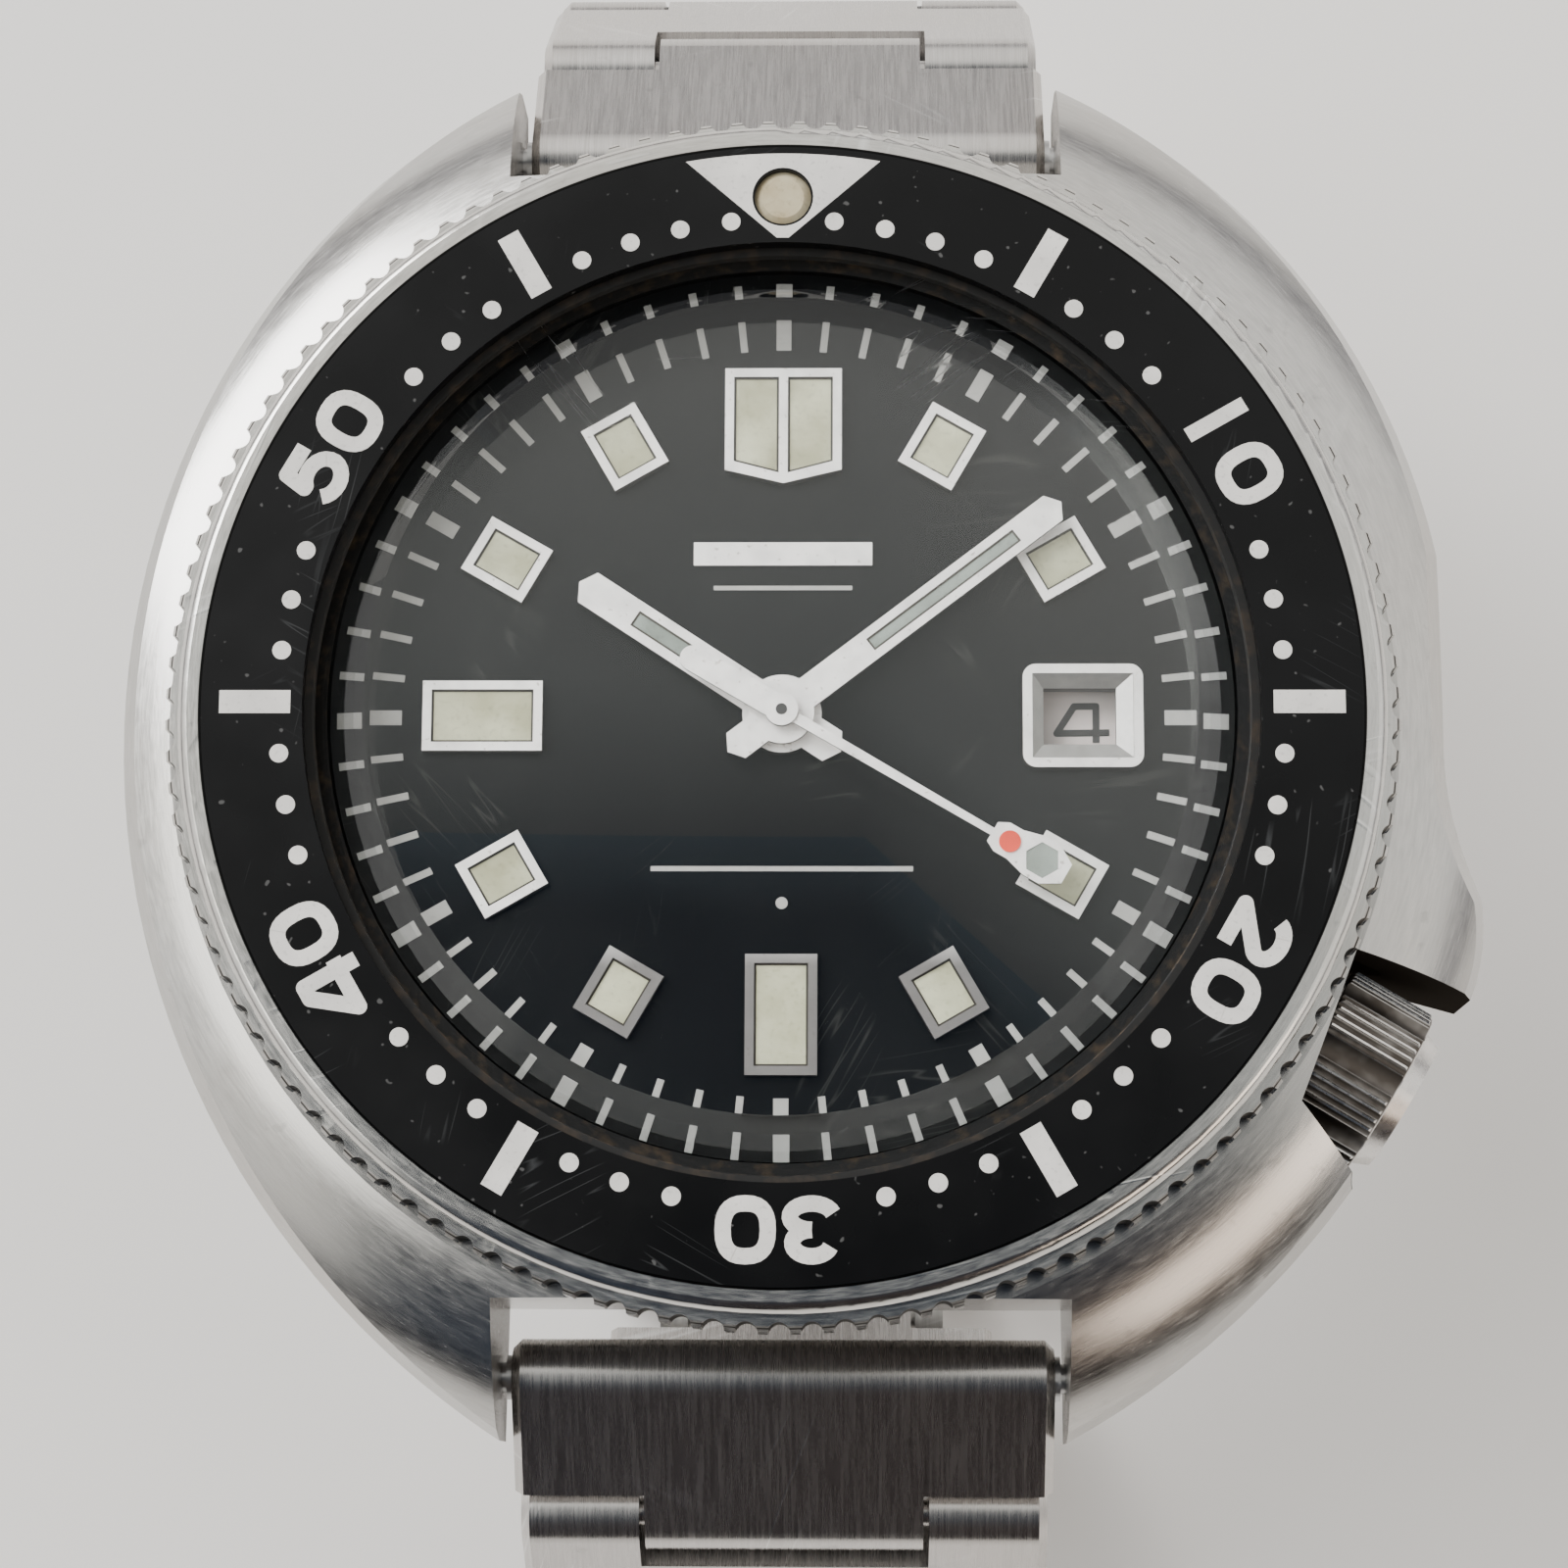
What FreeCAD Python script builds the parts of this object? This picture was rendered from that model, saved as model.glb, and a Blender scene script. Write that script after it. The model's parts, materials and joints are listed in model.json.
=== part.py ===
import FreeCAD, Part
import math
import os

import Sketcher
from FreeCAD import Placement, Rotation, Vector

# Steel diver's wristwatch with a rotating bezel, a screw crown at 4 o'clock and a folded-link bracelet.
# Frame: the dial faces +Z, 12 o'clock is +Y, 3 o'clock is +X, and z = 0 is the case back's outer face.
# All lengths are millimetres and all angles degrees.

SIZES = {
    # case heights
    "case_floor_z": 1.2, "case_top_z": 9.2, "neck_top_z": 11.2, "case_rim_z": 2.4,
    "case_shoulder_z": 4.6, "case_depth_margin": 3.0,
    # case outline
    "side_arc_r": 28.35, "side_half_width": 22.35, "right_side_x": 22.2, "right_flat_y": 6.0,
    "right_arc_r": 25.5, "lower_right_arc_r": 29.0, "lug_tip_x": 9.3, "lug_tip_y": 23.87,
    "guard_peak_x": 23.55, "guard_peak_y": 5.6, "guard_end_x": 23.0, "guard_end_y": 9.4,
    "guard_start_y": 0.8, "guard_arc_r": 6.0, "guard_blend_r": 9.0,
    "recess_out_x": 19.15, "recess_out_y": 15.2,
    "dome_r": 25.9, "dome_start_r": 20.6, "dome_arc_r": 7.2, "floor_flat_r": 19.4,
    "neck_r": 17.35, "neck_bore_r": 16.15, "rehaut_r": 14.5, "rehaut_top_z": 10.3,
    "cavity_r": 14.9, "cavity_floor_z": 3.2, "thread_r": 15.6, "seal_groove_r": 16.3, "seal_groove_z": 1.8,
    "lug_gap": 19.0, "lug_wall_y": 19.2, "lug_reach_y": 30.0,
    "blank_r": 40.0, "edge_chamfer": 0.55,
    "spring_bar_y": 21.6, "spring_bar_z": 3.6, "spring_bar_r": 0.75, "spring_tip_r": 0.5,
    "spring_bar_length": 18.7, "spring_tip_length": 21.0,
    "bezel_groove_r": 16.85, "bezel_groove_z": 10.1, "bezel_groove_height": 0.5, "bezel_groove_outer_r": 17.9,
    "click_r": 18.7, "click_ball_r": 0.4, "click_ball_z": 9.2, "click_hole_depth": 2.0, "click_hole_r": 0.45,
    # crown and its recess in the case side
    "recess_near_x": 19.0, "recess_near_y": 7.7, "recess_wide_x": 28.0, "recess_high_y": 10.45,
    "recess_low_y": 26.0, "recess_far_x": 17.1, "recess_far_y": 12.7, "counterbore_reach": 32.0,
    "tube_hole_start": 13.5,
    "crown_axis_z": 5.6, "crown_tilt": 31.0, "crown_r": 3.15, "crown_inner": 20.65, "crown_knurl_end": 23.75,
    "crown_outer": 24.35, "crown_cap_r": 2.55, "crown_bore_r": 1.75, "crown_bore_end": 22.75,
    "crown_recess_r": 3.5, "crown_recess_start": 20.4, "crown_ridge_r": 0.14, "crown_flute_r": 0.55,
    "tube_r": 1.45, "tube_bore_r": 0.95, "tube_start": 14.95, "tube_end": 22.35,
    "stem_r": 0.6, "stem_start": 8.2, "lever_r": 1.5, "lever_start": 10.4, "lever_end": 11.2,
    "stem_groove_r": 0.4,
    # bezel
    "bezel_floor_z": 9.35, "bezel_bore_r": 17.42, "bezel_web_z": 11.35, "bezel_web_r": 16.3,
    "insert_floor_z": 11.75, "insert_top_z": 12.3, "insert_outer_r": 19.03, "insert_inner_r": 15.7,
    "rim_r": 19.85, "rim_crest_r": 19.5, "rim_round_r": 0.45, "coin_r": 20.4, "coin_top_z": 11.25,
    "coin_notch_r": 0.38, "coin_notches": 120, "bezel_track_in_r": 18.15, "bezel_track_out_r": 19.25,
    "bezel_track_z": 9.75, "pearl_r": 0.95, "pearl_y": 17.28, "pearl_top_z": 12.2,
    # crystal, its gasket and retaining ring
    "crystal_r": 15.4, "crystal_floor_z": 10.7, "crystal_edge_z": 11.35, "crystal_top_z": 12.85,
    "crystal_flat_r": 13.6, "gasket_inner_r": 14.75, "ring_inner_r": 15.45, "ring_top_z": 11.6,
    # case back
    "back_r": 17.2, "back_inner_z": 0.9, "back_bore_r": 14.3, "back_notches": 6, "back_notch_r": 1.3,
    "back_seal_inner_r": 15.65, "back_step_r": 14.6, "back_step_z": 0.35,
    # dial, window and markers
    "dial_r": 14.85, "dial_floor_z": 8.5, "dial_top_z": 8.9, "dial_hole_r": 1.25,
    "marker_top_z": 9.3, "lume_top_z": 9.2, "marker_mid_r": 10.7, "marker_length": 2.38, "marker_width": 2.07,
    "marker_border": 0.3, "bar_marker_inner": 8.0, "bar_marker_outer": 12.0, "bar_marker_width": 2.38,
    "shield_half_width": 1.97, "shield_top_y": 11.99, "shield_shoulder_y": 8.45, "shield_point_y": 7.98,
    "shield_split": 0.15, "window_x": 9.9, "window_width": 2.45, "window_height": 1.93,
    "frame_inner_x": 8.0, "frame_outer_x": 12.0, "frame_height": 3.5, "frame_corner_r": 0.45,
    "frame_top_z": 9.35, "frame_step": 0.32, "frame_step_z": 9.12,
    # hands
    "hour_angle": 303.5, "minute_angle": 52.5, "second_angle": 120.5,
    "hour_floor_z": 9.45, "minute_floor_z": 9.82, "second_floor_z": 10.18, "hand_thickness": 0.18,
    "second_thickness": 0.14, "hour_length": 8.15, "hour_width": 1.2, "hour_tail": 2.35, "hour_hub_r": 1.32,
    "hour_slot_start": 2.7, "hour_slot_end": 5.9, "hour_slot_width": 0.58,
    "minute_length": 11.73, "minute_width": 1.05, "minute_tail": 2.25, "minute_hub_r": 1.08,
    "minute_slot_start": 3.7, "minute_slot_end": 9.85, "minute_slot_width": 0.48, "hand_point": 0.35,
    "second_length": 10.85, "second_width": 0.36, "second_tail": 3.85, "second_tail_width": 0.86,
    "second_hub_r": 0.55, "plate_start_y": 8.05, "plate_shoulder_y": 8.4, "plate_neck_y": 8.9,
    "plate_wide_y": 9.6, "plate_bevel_y": 10.2, "plate_half_width": 0.55, "plate_wide_half": 0.74,
    "plate_end_half": 0.36, "second_window_y": 9.93, "second_window_r": 0.6,
    "hour_pipe_r": 1.1, "hour_pipe_bore_r": 0.76, "minute_pipe_r": 0.7, "minute_pipe_bore_r": 0.4,
    "second_arbor_r": 0.33, "hour_pipe_floor_z": 7.45, "minute_pipe_floor_z": 6.6, "second_floor": 4.6,
    # movement
    "ring_outer_r": 14.85, "ring_bore_r": 13.65, "movement_ring_floor_z": 3.4,
    "plate_r": 13.6, "plate_floor_z": 4.2, "plate_top_z": 7.3, "plate_hole_r": 1.2,
    "keyless_start": 8.0, "keyless_end": 12.6, "keyless_half_width": 1.9, "keyless_top_z": 7.0,
    "bridge_floor_z": 3.0, "bridge_r": 13.3, "bridge_screw_r": 0.7, "bridge_screw_pitch_r": 11.6,
    "balance_x": 7.0, "balance_y": 3.0, "balance_well_r": 5.0, "balance_well_top_z": 6.9,
    "balance_r": 4.1, "balance_rim": 0.6, "balance_floor_z": 5.1, "balance_height": 0.45,
    "staff_r": 0.22, "staff_floor_z": 3.75, "staff_top_z": 6.85, "spoke_width": 0.5,
    "spring_coil_floor_z": 4.25, "spring_coil_height": 0.15, "spring_coil_wall": 0.12,
    "spring_coil_gap": 0.32,
    "cock_length": 9.7, "cock_width": 2.4, "cock_top_z": 3.7,
    "bearing_r": 2.2, "bearing_cap_r": 2.8, "bearing_floor_z": 1.3, "bearing_cap_z": 1.48,
    "rotor_hub_r": 3.6, "rotor_bore_r": 2.26, "rotor_floor_z": 1.55, "rotor_top_z": 2.75,
    "rotor_web_floor_z": 2.0, "rotor_web_top_z": 2.5, "rotor_rim_r": 11.3, "rotor_r": 13.5,
    "rotor_sweep": 190.0,
    "date_floor_z": 7.75, "date_top_z": 8.0, "date_inner_r": 8.2, "date_outer_r": 12.7,
    "date_tooth_r": 0.3, "date_teeth": 31,
    # bracelet
    "first_pitch": 5.3, "link_pitch": 7.1, "link_thickness": 2.6, "first_link_width": 18.3, "link_taper": 0.3,
    "tongue_width": 9.5, "fork_gap": 9.9, "link_clearance": 0.15, "pin_r": 0.5, "pin_clearance": 0.06,
    "link_edge": 0.3, "first_slope": 33.0, "second_slope": 57.0, "bend_step": 18.5,
    # clasp
    "cover_half_width": 8.7, "cover_wall": 0.7, "cover_end_12_y": 16.0, "cover_end_6_y": 16.4,
    "cover_floor_drop": 2.7, "cover_plate": 0.6, "cover_wall_top": 1.4,
    "cap_start_y": 16.15, "cap_end_y": 18.9, "cap_ear_r": 1.2,
    "leaf_thickness": 0.6, "leaf_half_width": 7.6, "leaf_1_drop": 0.2, "leaf_2_drop": 1.15,
    "leaf_1_start_y": 15.9, "leaf_hinge_12_y": 11.0, "leaf_hinge_6_y": 14.2, "leaf_knuckle_r": 0.72,
    "cover_knuckle_r": 0.5,
    "leaf_ear": 1.2, "leaf_ear_r": 1.15, "leaf_pin_r": 0.32, "leaf_knuckle_half": 3.0,
}
LINKS_PER_SIDE = 7
REGULAR_MARKERS = (1, 2, 4, 5, 7, 8, 10, 11)


class Size(float):
    """A number that remembers the spreadsheet expression it comes from."""

    def __new__(cls, value, expression):
        size = float.__new__(cls, value)
        size.expression = expression
        return size

    def combine(self, other, operator, result):
        return Size(result, "(%s %s %s)" % (words(self), operator, words(other)))

    def __add__(self, other):
        return self.combine(other, "+", float(self) + float(other))

    def __sub__(self, other):
        return self.combine(other, "-", float(self) - float(other))

    def __mul__(self, other):
        return self.combine(other, "*", float(self) * float(other))

    def __truediv__(self, other):
        return self.combine(other, "/", float(self) / float(other))

    def __neg__(self):
        return Size(-float(self), "(-1 * %s)" % words(self))


def words(value):
    return value.expression if isinstance(value, Size) else repr(float(value))


class Sizes:
    """The spreadsheet's aliases as attributes."""

    def __init__(self, sheet, table):
        for row, (alias, value) in enumerate(table.items(), start=1):
            sheet.set("A%d" % row, alias)
            sheet.set("B%d" % row, repr(value))
            sheet.setAlias("B%d" % row, alias)
            setattr(self, alias, Size(value, "Sizes." + alias))


doc = FreeCAD.newDocument("wristwatch")
sheet = doc.addObject("Spreadsheet::Sheet", "Sizes")
S = Sizes(sheet, SIZES)
doc.recompute()


def bind(feature, path, value):
    if isinstance(value, Size):
        feature.setExpression(path, value.expression)


def arc_centre(start, end, radius):
    """Centre of the short arc from start to end; a positive radius turns anticlockwise."""
    across, up = end[0] - start[0], end[1] - start[1]
    chord = math.hypot(across, up)
    rise = math.sqrt(max(radius * radius - chord * chord / 4.0, 0.0))
    side = 1.0 if radius > 0 else -1.0
    return ((start[0] + end[0]) / 2.0 - side * rise * up / chord,
            (start[1] + end[1]) / 2.0 + side * rise * across / chord)


def circle(x, y, radius):
    return ("circle", x, y, radius)


def box(x_low, y_low, x_high, y_high):
    return [(x_low, y_low), (x_high, y_low), (x_high, y_high), (x_low, y_high)]


class SubPart:
    """One named sub-part: a PartDesign body whose features come from fully dimensioned sketches."""

    all = []

    def __init__(self, label, placement=None):
        self.label = label
        self.body = doc.addObject("PartDesign::Body", label)
        self.body.Label = label
        self.body.AllowCompound = True
        if placement is not None:
            self.body.Placement = placement
        SubPart.all.append(self)

    def origin(self, role):
        return next(item for item in self.body.Origin.OriginFeatures if item.Role == role)

    def sketch(self, plane, loops, offset=0.0, turn=0.0):
        sketch = self.body.newObject("Sketcher::SketchObject", self.label + "_sketch")
        sketch.AttachmentSupport = [(self.origin(plane), "")]
        sketch.MapMode = "FlatFace"
        sketch.AttachmentOffset = Placement(Vector(0, 0, float(offset)),
                                            Rotation(Vector(0, 0, 1), float(turn)))
        bind(sketch, "AttachmentOffset.Base.z", offset)
        rules, bindings = [], []

        def rule(value, *arguments):
            if isinstance(value, Size):
                bindings.append((len(rules), value.expression))
            rules.append(Sketcher.Constraint(*arguments, float(value)))

        def pin(geometry, point, x, y):
            for value, kind, axis in ((x, "DistanceX", -2), (y, "DistanceY", -1)):
                if abs(value) < 1e-9:
                    rules.append(Sketcher.Constraint("PointOnObject", geometry, point, axis))
                elif value > 0:
                    rule(value, kind, -1, 1, geometry, point)
                else:
                    rule(-value if isinstance(value, Size) else -float(value), kind, geometry, point, -1, 1)

        for loop in loops:
            if loop[0] == "circle":
                _, x, y, radius = loop
                shape = Part.Circle(Vector(float(x), float(y), 0), Vector(0, 0, 1), float(radius))
                index = sketch.addGeometry(shape, False)
                rule(radius, "Radius", index)
                pin(index, 3, x, y)
                continue
            ends = []
            for number, corner in enumerate(loop):
                start = loop[number - 1]
                begin = Vector(float(start[0]), float(start[1]), 0)
                finish = Vector(float(corner[0]), float(corner[1]), 0)
                if len(corner) == 2:
                    index = sketch.addGeometry(Part.LineSegment(begin, finish), False)
                    ends.append((index, 1, 2))
                    continue
                radius = float(corner[2])
                x, y = arc_centre((begin.x, begin.y), (finish.x, finish.y), radius)
                first, last = (begin, finish) if radius > 0 else (finish, begin)
                low = math.atan2(first.y - y, first.x - x)
                high = math.atan2(last.y - y, last.x - x)
                if high < low:
                    high += 2 * math.pi
                whole = Part.Circle(Vector(x, y, 0), Vector(0, 0, 1), abs(radius))
                shape = Part.ArcOfCircle(whole, low, high)
                index = sketch.addGeometry(shape, False)
                size = corner[2]
                if radius < 0:
                    size = -size if isinstance(size, Size) else abs(radius)
                rule(size, "Radius", index)
                ends.append((index, 1, 2) if radius > 0 else (index, 2, 1))
            for number, (index, _, end_point) in enumerate(ends):
                following, start_point, _ = ends[(number + 1) % len(ends)]
                rules.append(Sketcher.Constraint("Coincident", index, end_point, following, start_point))
                pin(index, end_point, loop[number][0], loop[number][1])
        sketch.addConstraint(rules)
        for index, expression in bindings:
            sketch.setExpression("Constraints[%d]" % index, expression)
        return sketch

    def feature(self, kind, sketch):
        feature = self.body.newObject("PartDesign::" + kind, self.label + "_" + kind.lower())
        feature.Profile = sketch
        sketch.Visibility = False
        self.body.Tip = feature
        return feature

    def pad(self, loops, base, height, plane="XY_Plane", turn=0.0):
        feature = self.feature("Pad", self.sketch(plane, loops, base, turn))
        feature.Length = float(height)
        bind(feature, "Length", height)
        return feature

    def pocket(self, loops, base, height, plane="XY_Plane", turn=0.0):
        """Remove material between base and base + height along the plane's normal."""
        top = base + height if isinstance(base, Size) else height + base
        feature = self.feature("Pocket", self.sketch(plane, loops, top, turn))
        feature.Length = float(height)
        bind(feature, "Length", height)
        return feature

    def revolve(self, loops, plane="XZ_Plane", axis="V_Axis", kind="Revolution", angle=360.0, offset=0.0,
                turn=0.0):
        sketch = self.sketch(plane, loops, offset, turn)
        feature = self.feature(kind, sketch)
        feature.ReferenceAxis = (sketch, [axis])
        feature.Angle = float(angle)
        bind(feature, "Angle", angle)
        return feature

    def groove(self, loops, **options):
        return self.revolve(loops, kind="Groove", **options)

    def repeat(self, feature, axis, count, angle=360.0):
        pattern = self.body.newObject("PartDesign::PolarPattern", self.label + "_pattern")
        pattern.Originals = [feature]
        pattern.Axis = (self.origin(axis), [""])
        pattern.Angle = float(angle)
        pattern.Occurrences = int(count)
        bind(pattern, "Occurrences", count)
        self.body.Tip = pattern
        return pattern

    def soften(self, kind, size, chosen):
        """Fillet or chamfer the edges whose two ends both satisfy chosen."""
        doc.recompute()
        tip = self.body.Tip
        names = ["Edge%d" % (number + 1) for number, edge in enumerate(tip.Shape.Edges)
                 if all(chosen(vertex.Point) for vertex in edge.Vertexes)]
        feature = self.body.newObject("PartDesign::" + kind, self.label + "_" + kind.lower())
        feature.Base = (tip, names)
        path = "Radius" if kind == "Fillet" else "Size"
        setattr(feature, path, float(size))
        bind(feature, path, size)
        self.body.Tip = feature
        return feature


def turned(angle, z=0.0):
    """Placement turned about the dial axis, lifted to z."""
    return Placement(Vector(0, 0, float(z)), Rotation(Vector(0, 0, 1), float(angle)))


CROWN_FRAME = turned(-S.crown_tilt, S.crown_axis_z)


def ring(label, inner, outer, floor, top):
    part = SubPart(label)
    part.revolve([box(inner, floor, outer, top)])
    return part


# ---------------------------------------------------------------- case
def case_outline():
    s = S
    return [
        (-s.lug_tip_x, s.lug_tip_y),
        (-s.side_half_width, 0.0, s.side_arc_r),
        (-s.lug_tip_x, -s.lug_tip_y, s.side_arc_r),
        (s.lug_tip_x, -s.lug_tip_y),
        (s.recess_out_x, -s.recess_out_y, s.lower_right_arc_r),
        (s.guard_end_x, -s.guard_end_y),
        (s.guard_peak_x, -s.guard_peak_y, s.guard_arc_r),
        (s.right_side_x, -s.guard_start_y, -s.guard_blend_r),
        (s.right_side_x, s.right_flat_y),
        (s.lug_tip_x, s.lug_tip_y, s.right_arc_r),
    ]


def crown_recess():
    s = S
    return [(s.recess_near_x, -s.recess_near_y), (s.recess_wide_x, -s.recess_high_y),
            (s.recess_wide_x, -s.recess_low_y), (s.recess_far_x, -s.recess_far_y)]


def make_case():
    s = S
    case = SubPart("case_middle")
    case.revolve([[
        (0.0, s.case_floor_z), (s.floor_flat_r, s.case_floor_z), (s.dome_r, s.case_rim_z),
        (s.dome_r, s.case_shoulder_z), (s.dome_start_r, s.case_top_z, s.dome_arc_r),
        (s.neck_r, s.case_top_z), (s.neck_r, s.neck_top_z), (0.0, s.neck_top_z)]])
    everything = s.neck_top_z + s.case_depth_margin
    case.pocket([circle(0.0, 0.0, s.blank_r), case_outline()], 0.0, everything)
    case.soften("Chamfer", s.edge_chamfer, lambda p: p.z > 3.5 and math.hypot(p.x, p.y) > 20.9
                and abs(p.x) > 9.0)
    case.pocket([box(-s.lug_gap / 2, s.lug_wall_y, s.lug_gap / 2, s.lug_reach_y),
                 box(-s.lug_gap / 2, -s.lug_reach_y, s.lug_gap / 2, -s.lug_wall_y)], 0.0, everything)
    case.pocket([crown_recess()], 0.0, everything)
    # crown counterbore and tube hole, both along the crown's axis
    case.groove([box(s.crown_recess_start, 0.0, s.counterbore_reach, s.crown_recess_r)], plane="XY_Plane",
                axis="H_Axis", offset=s.crown_axis_z, turn=-s.crown_tilt)
    case.groove([box(s.tube_hole_start, 0.0, s.crown_recess_start + 0.5, s.tube_r)], plane="XY_Plane",
                axis="H_Axis", offset=s.crown_axis_z, turn=-s.crown_tilt)
    # movement cavity, crystal seat, case back thread and seal grooves
    case.groove([[
        (0.0, 0.0), (s.seal_groove_r, 0.0), (s.seal_groove_r, s.seal_groove_z), (s.thread_r, s.seal_groove_z),
        (s.thread_r, s.cavity_floor_z), (s.cavity_r, s.cavity_floor_z), (s.cavity_r, s.dial_top_z),
        (s.rehaut_r, s.dial_top_z), (s.rehaut_r, s.rehaut_top_z), (s.neck_bore_r, s.rehaut_top_z),
        (s.neck_bore_r, 12.0), (0.0, 12.0)]])
    case.groove([box(s.bezel_groove_r, s.bezel_groove_z, s.bezel_groove_outer_r,
                     s.bezel_groove_z + s.bezel_groove_height)])
    case.pocket([circle(0.0, s.click_r, s.click_hole_r)], s.case_top_z - s.click_hole_depth,
                s.click_hole_depth)
    # spring-bar holes drilled into the lugs from the gap between them
    case.pocket([circle(s.spring_bar_y, s.spring_bar_z, s.spring_tip_r + 0.03),
                 circle(-s.spring_bar_y, s.spring_bar_z, s.spring_tip_r + 0.03)],
                -s.spring_tip_length / 2 - 0.1, s.spring_tip_length + 0.2, plane="YZ_Plane")


def make_case_fittings():
    s = S
    ring("bezel_gasket", s.bezel_groove_r, s.neck_r + 0.04, s.bezel_groove_z,
         s.bezel_groove_z + s.bezel_groove_height)
    place = Vector(0, float(s.click_r), float(s.click_ball_z))
    ball = SubPart("bezel_click_ball", Placement(place, Rotation()))
    ball.revolve([[(0.0, -s.click_ball_r), (s.click_ball_r, 0.0, s.click_ball_r),
                   (0.0, s.click_ball_r, s.click_ball_r)]])
    spring = SubPart("bezel_click_spring", Placement(Vector(0, float(s.click_r), 0), Rotation()))
    floor = s.case_top_z - s.click_hole_depth
    for coil in range(5):
        spring.revolve([box(s.click_ball_r - 0.12, floor + 0.33 * coil, s.click_ball_r,
                            floor + 0.33 * coil + 0.12)])
    spring.pad([box(-0.05, 0.3, 0.05, 0.38)], floor + 0.05, 1.34)
    ring("crystal_gasket", s.gasket_inner_r, s.ring_inner_r, s.rehaut_top_z, s.crystal_floor_z)
    ring("crystal_retaining_ring", s.ring_inner_r, s.neck_bore_r, s.rehaut_top_z, s.ring_top_z)
    crystal = SubPart("crystal")
    crystal.revolve([[(0.0, s.crystal_floor_z), (s.crystal_r, s.crystal_floor_z),
                      (s.crystal_r, s.crystal_edge_z),
                      (s.crystal_flat_r, s.crystal_top_z), (0.0, s.crystal_top_z)]])
    back = SubPart("case_back")
    back.revolve([[(0.0, 0.0), (s.back_step_r, 0.0), (s.back_step_r, s.back_step_z),
                   (s.back_r, s.back_step_z), (s.back_r, s.case_floor_z), (s.thread_r, s.case_floor_z),
                   (s.thread_r, s.cavity_floor_z), (s.back_bore_r, s.cavity_floor_z),
                   (s.back_bore_r, s.back_inner_z), (0.0, s.back_inner_z)]])
    notch = back.pocket([circle(0.0, s.back_r + 0.3, s.back_notch_r)], 0.0, s.case_floor_z)
    back.repeat(notch, "Z_Axis", s.back_notches)
    ring("case_back_gasket", s.back_seal_inner_r, s.seal_groove_r, s.case_floor_z, s.seal_groove_z)
    tube = SubPart("crown_tube", CROWN_FRAME)
    tube.revolve([box(s.tube_start, s.tube_bore_r, s.tube_end, s.tube_r)], plane="XY_Plane", axis="H_Axis")
    for label, side in (("spring_bar_12", 1), ("spring_bar_6", -1)):
        place = Vector(0, side * float(s.spring_bar_y), float(s.spring_bar_z))
        bar = SubPart(label, Placement(place, Rotation()))
        bar.pad([circle(0.0, 0.0, s.spring_bar_r)], -s.spring_bar_length / 2, s.spring_bar_length,
                plane="YZ_Plane")
        bar.pad([circle(0.0, 0.0, s.spring_tip_r)], -s.spring_tip_length / 2, s.spring_tip_length,
                plane="YZ_Plane")


# ---------------------------------------------------------------- bezel
def make_bezel():
    s = S
    bezel = SubPart("bezel_ring")
    bezel.revolve([[
        (s.bezel_bore_r, s.bezel_floor_z), (s.bezel_track_in_r, s.bezel_floor_z),
        (s.bezel_track_in_r, s.bezel_track_z), (s.bezel_track_out_r, s.bezel_track_z),
        (s.bezel_track_out_r, s.bezel_floor_z), (s.coin_r - 0.15, s.bezel_floor_z),
        (s.coin_r, s.bezel_floor_z + 0.15), (s.coin_r, s.coin_top_z - 0.2), (s.coin_r - 0.2, s.coin_top_z),
        (s.rim_r, s.coin_top_z), (s.rim_r, s.insert_top_z - 0.4),
        (s.rim_crest_r, s.insert_top_z, s.rim_round_r),
        (s.insert_outer_r, s.insert_top_z), (s.insert_outer_r, s.insert_floor_z),
        (s.bezel_web_r, s.insert_floor_z), (s.bezel_web_r, s.bezel_web_z), (s.bezel_bore_r, s.bezel_web_z)]])
    notch = bezel.pocket([circle(0.0, s.coin_r + 0.05, s.coin_notch_r)], s.bezel_floor_z - 0.1, 2.4)
    bezel.repeat(notch, "Z_Axis", s.coin_notches)
    insert = SubPart("bezel_insert")
    insert.revolve([box(s.insert_inner_r, s.insert_floor_z, s.insert_outer_r, s.insert_top_z)])
    insert.pocket([circle(0.0, s.pearl_y, s.pearl_r)], s.insert_floor_z - 0.1, 1.0)
    pearl = SubPart("bezel_pearl", Placement(Vector(0, float(s.pearl_y), 0), Rotation()))
    pearl.revolve([[(0.0, s.insert_floor_z), (s.pearl_r, s.insert_floor_z), (s.pearl_r, s.pearl_top_z - 0.15),
                    (s.pearl_r - 0.25, s.pearl_top_z), (0.0, s.pearl_top_z)]])


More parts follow.
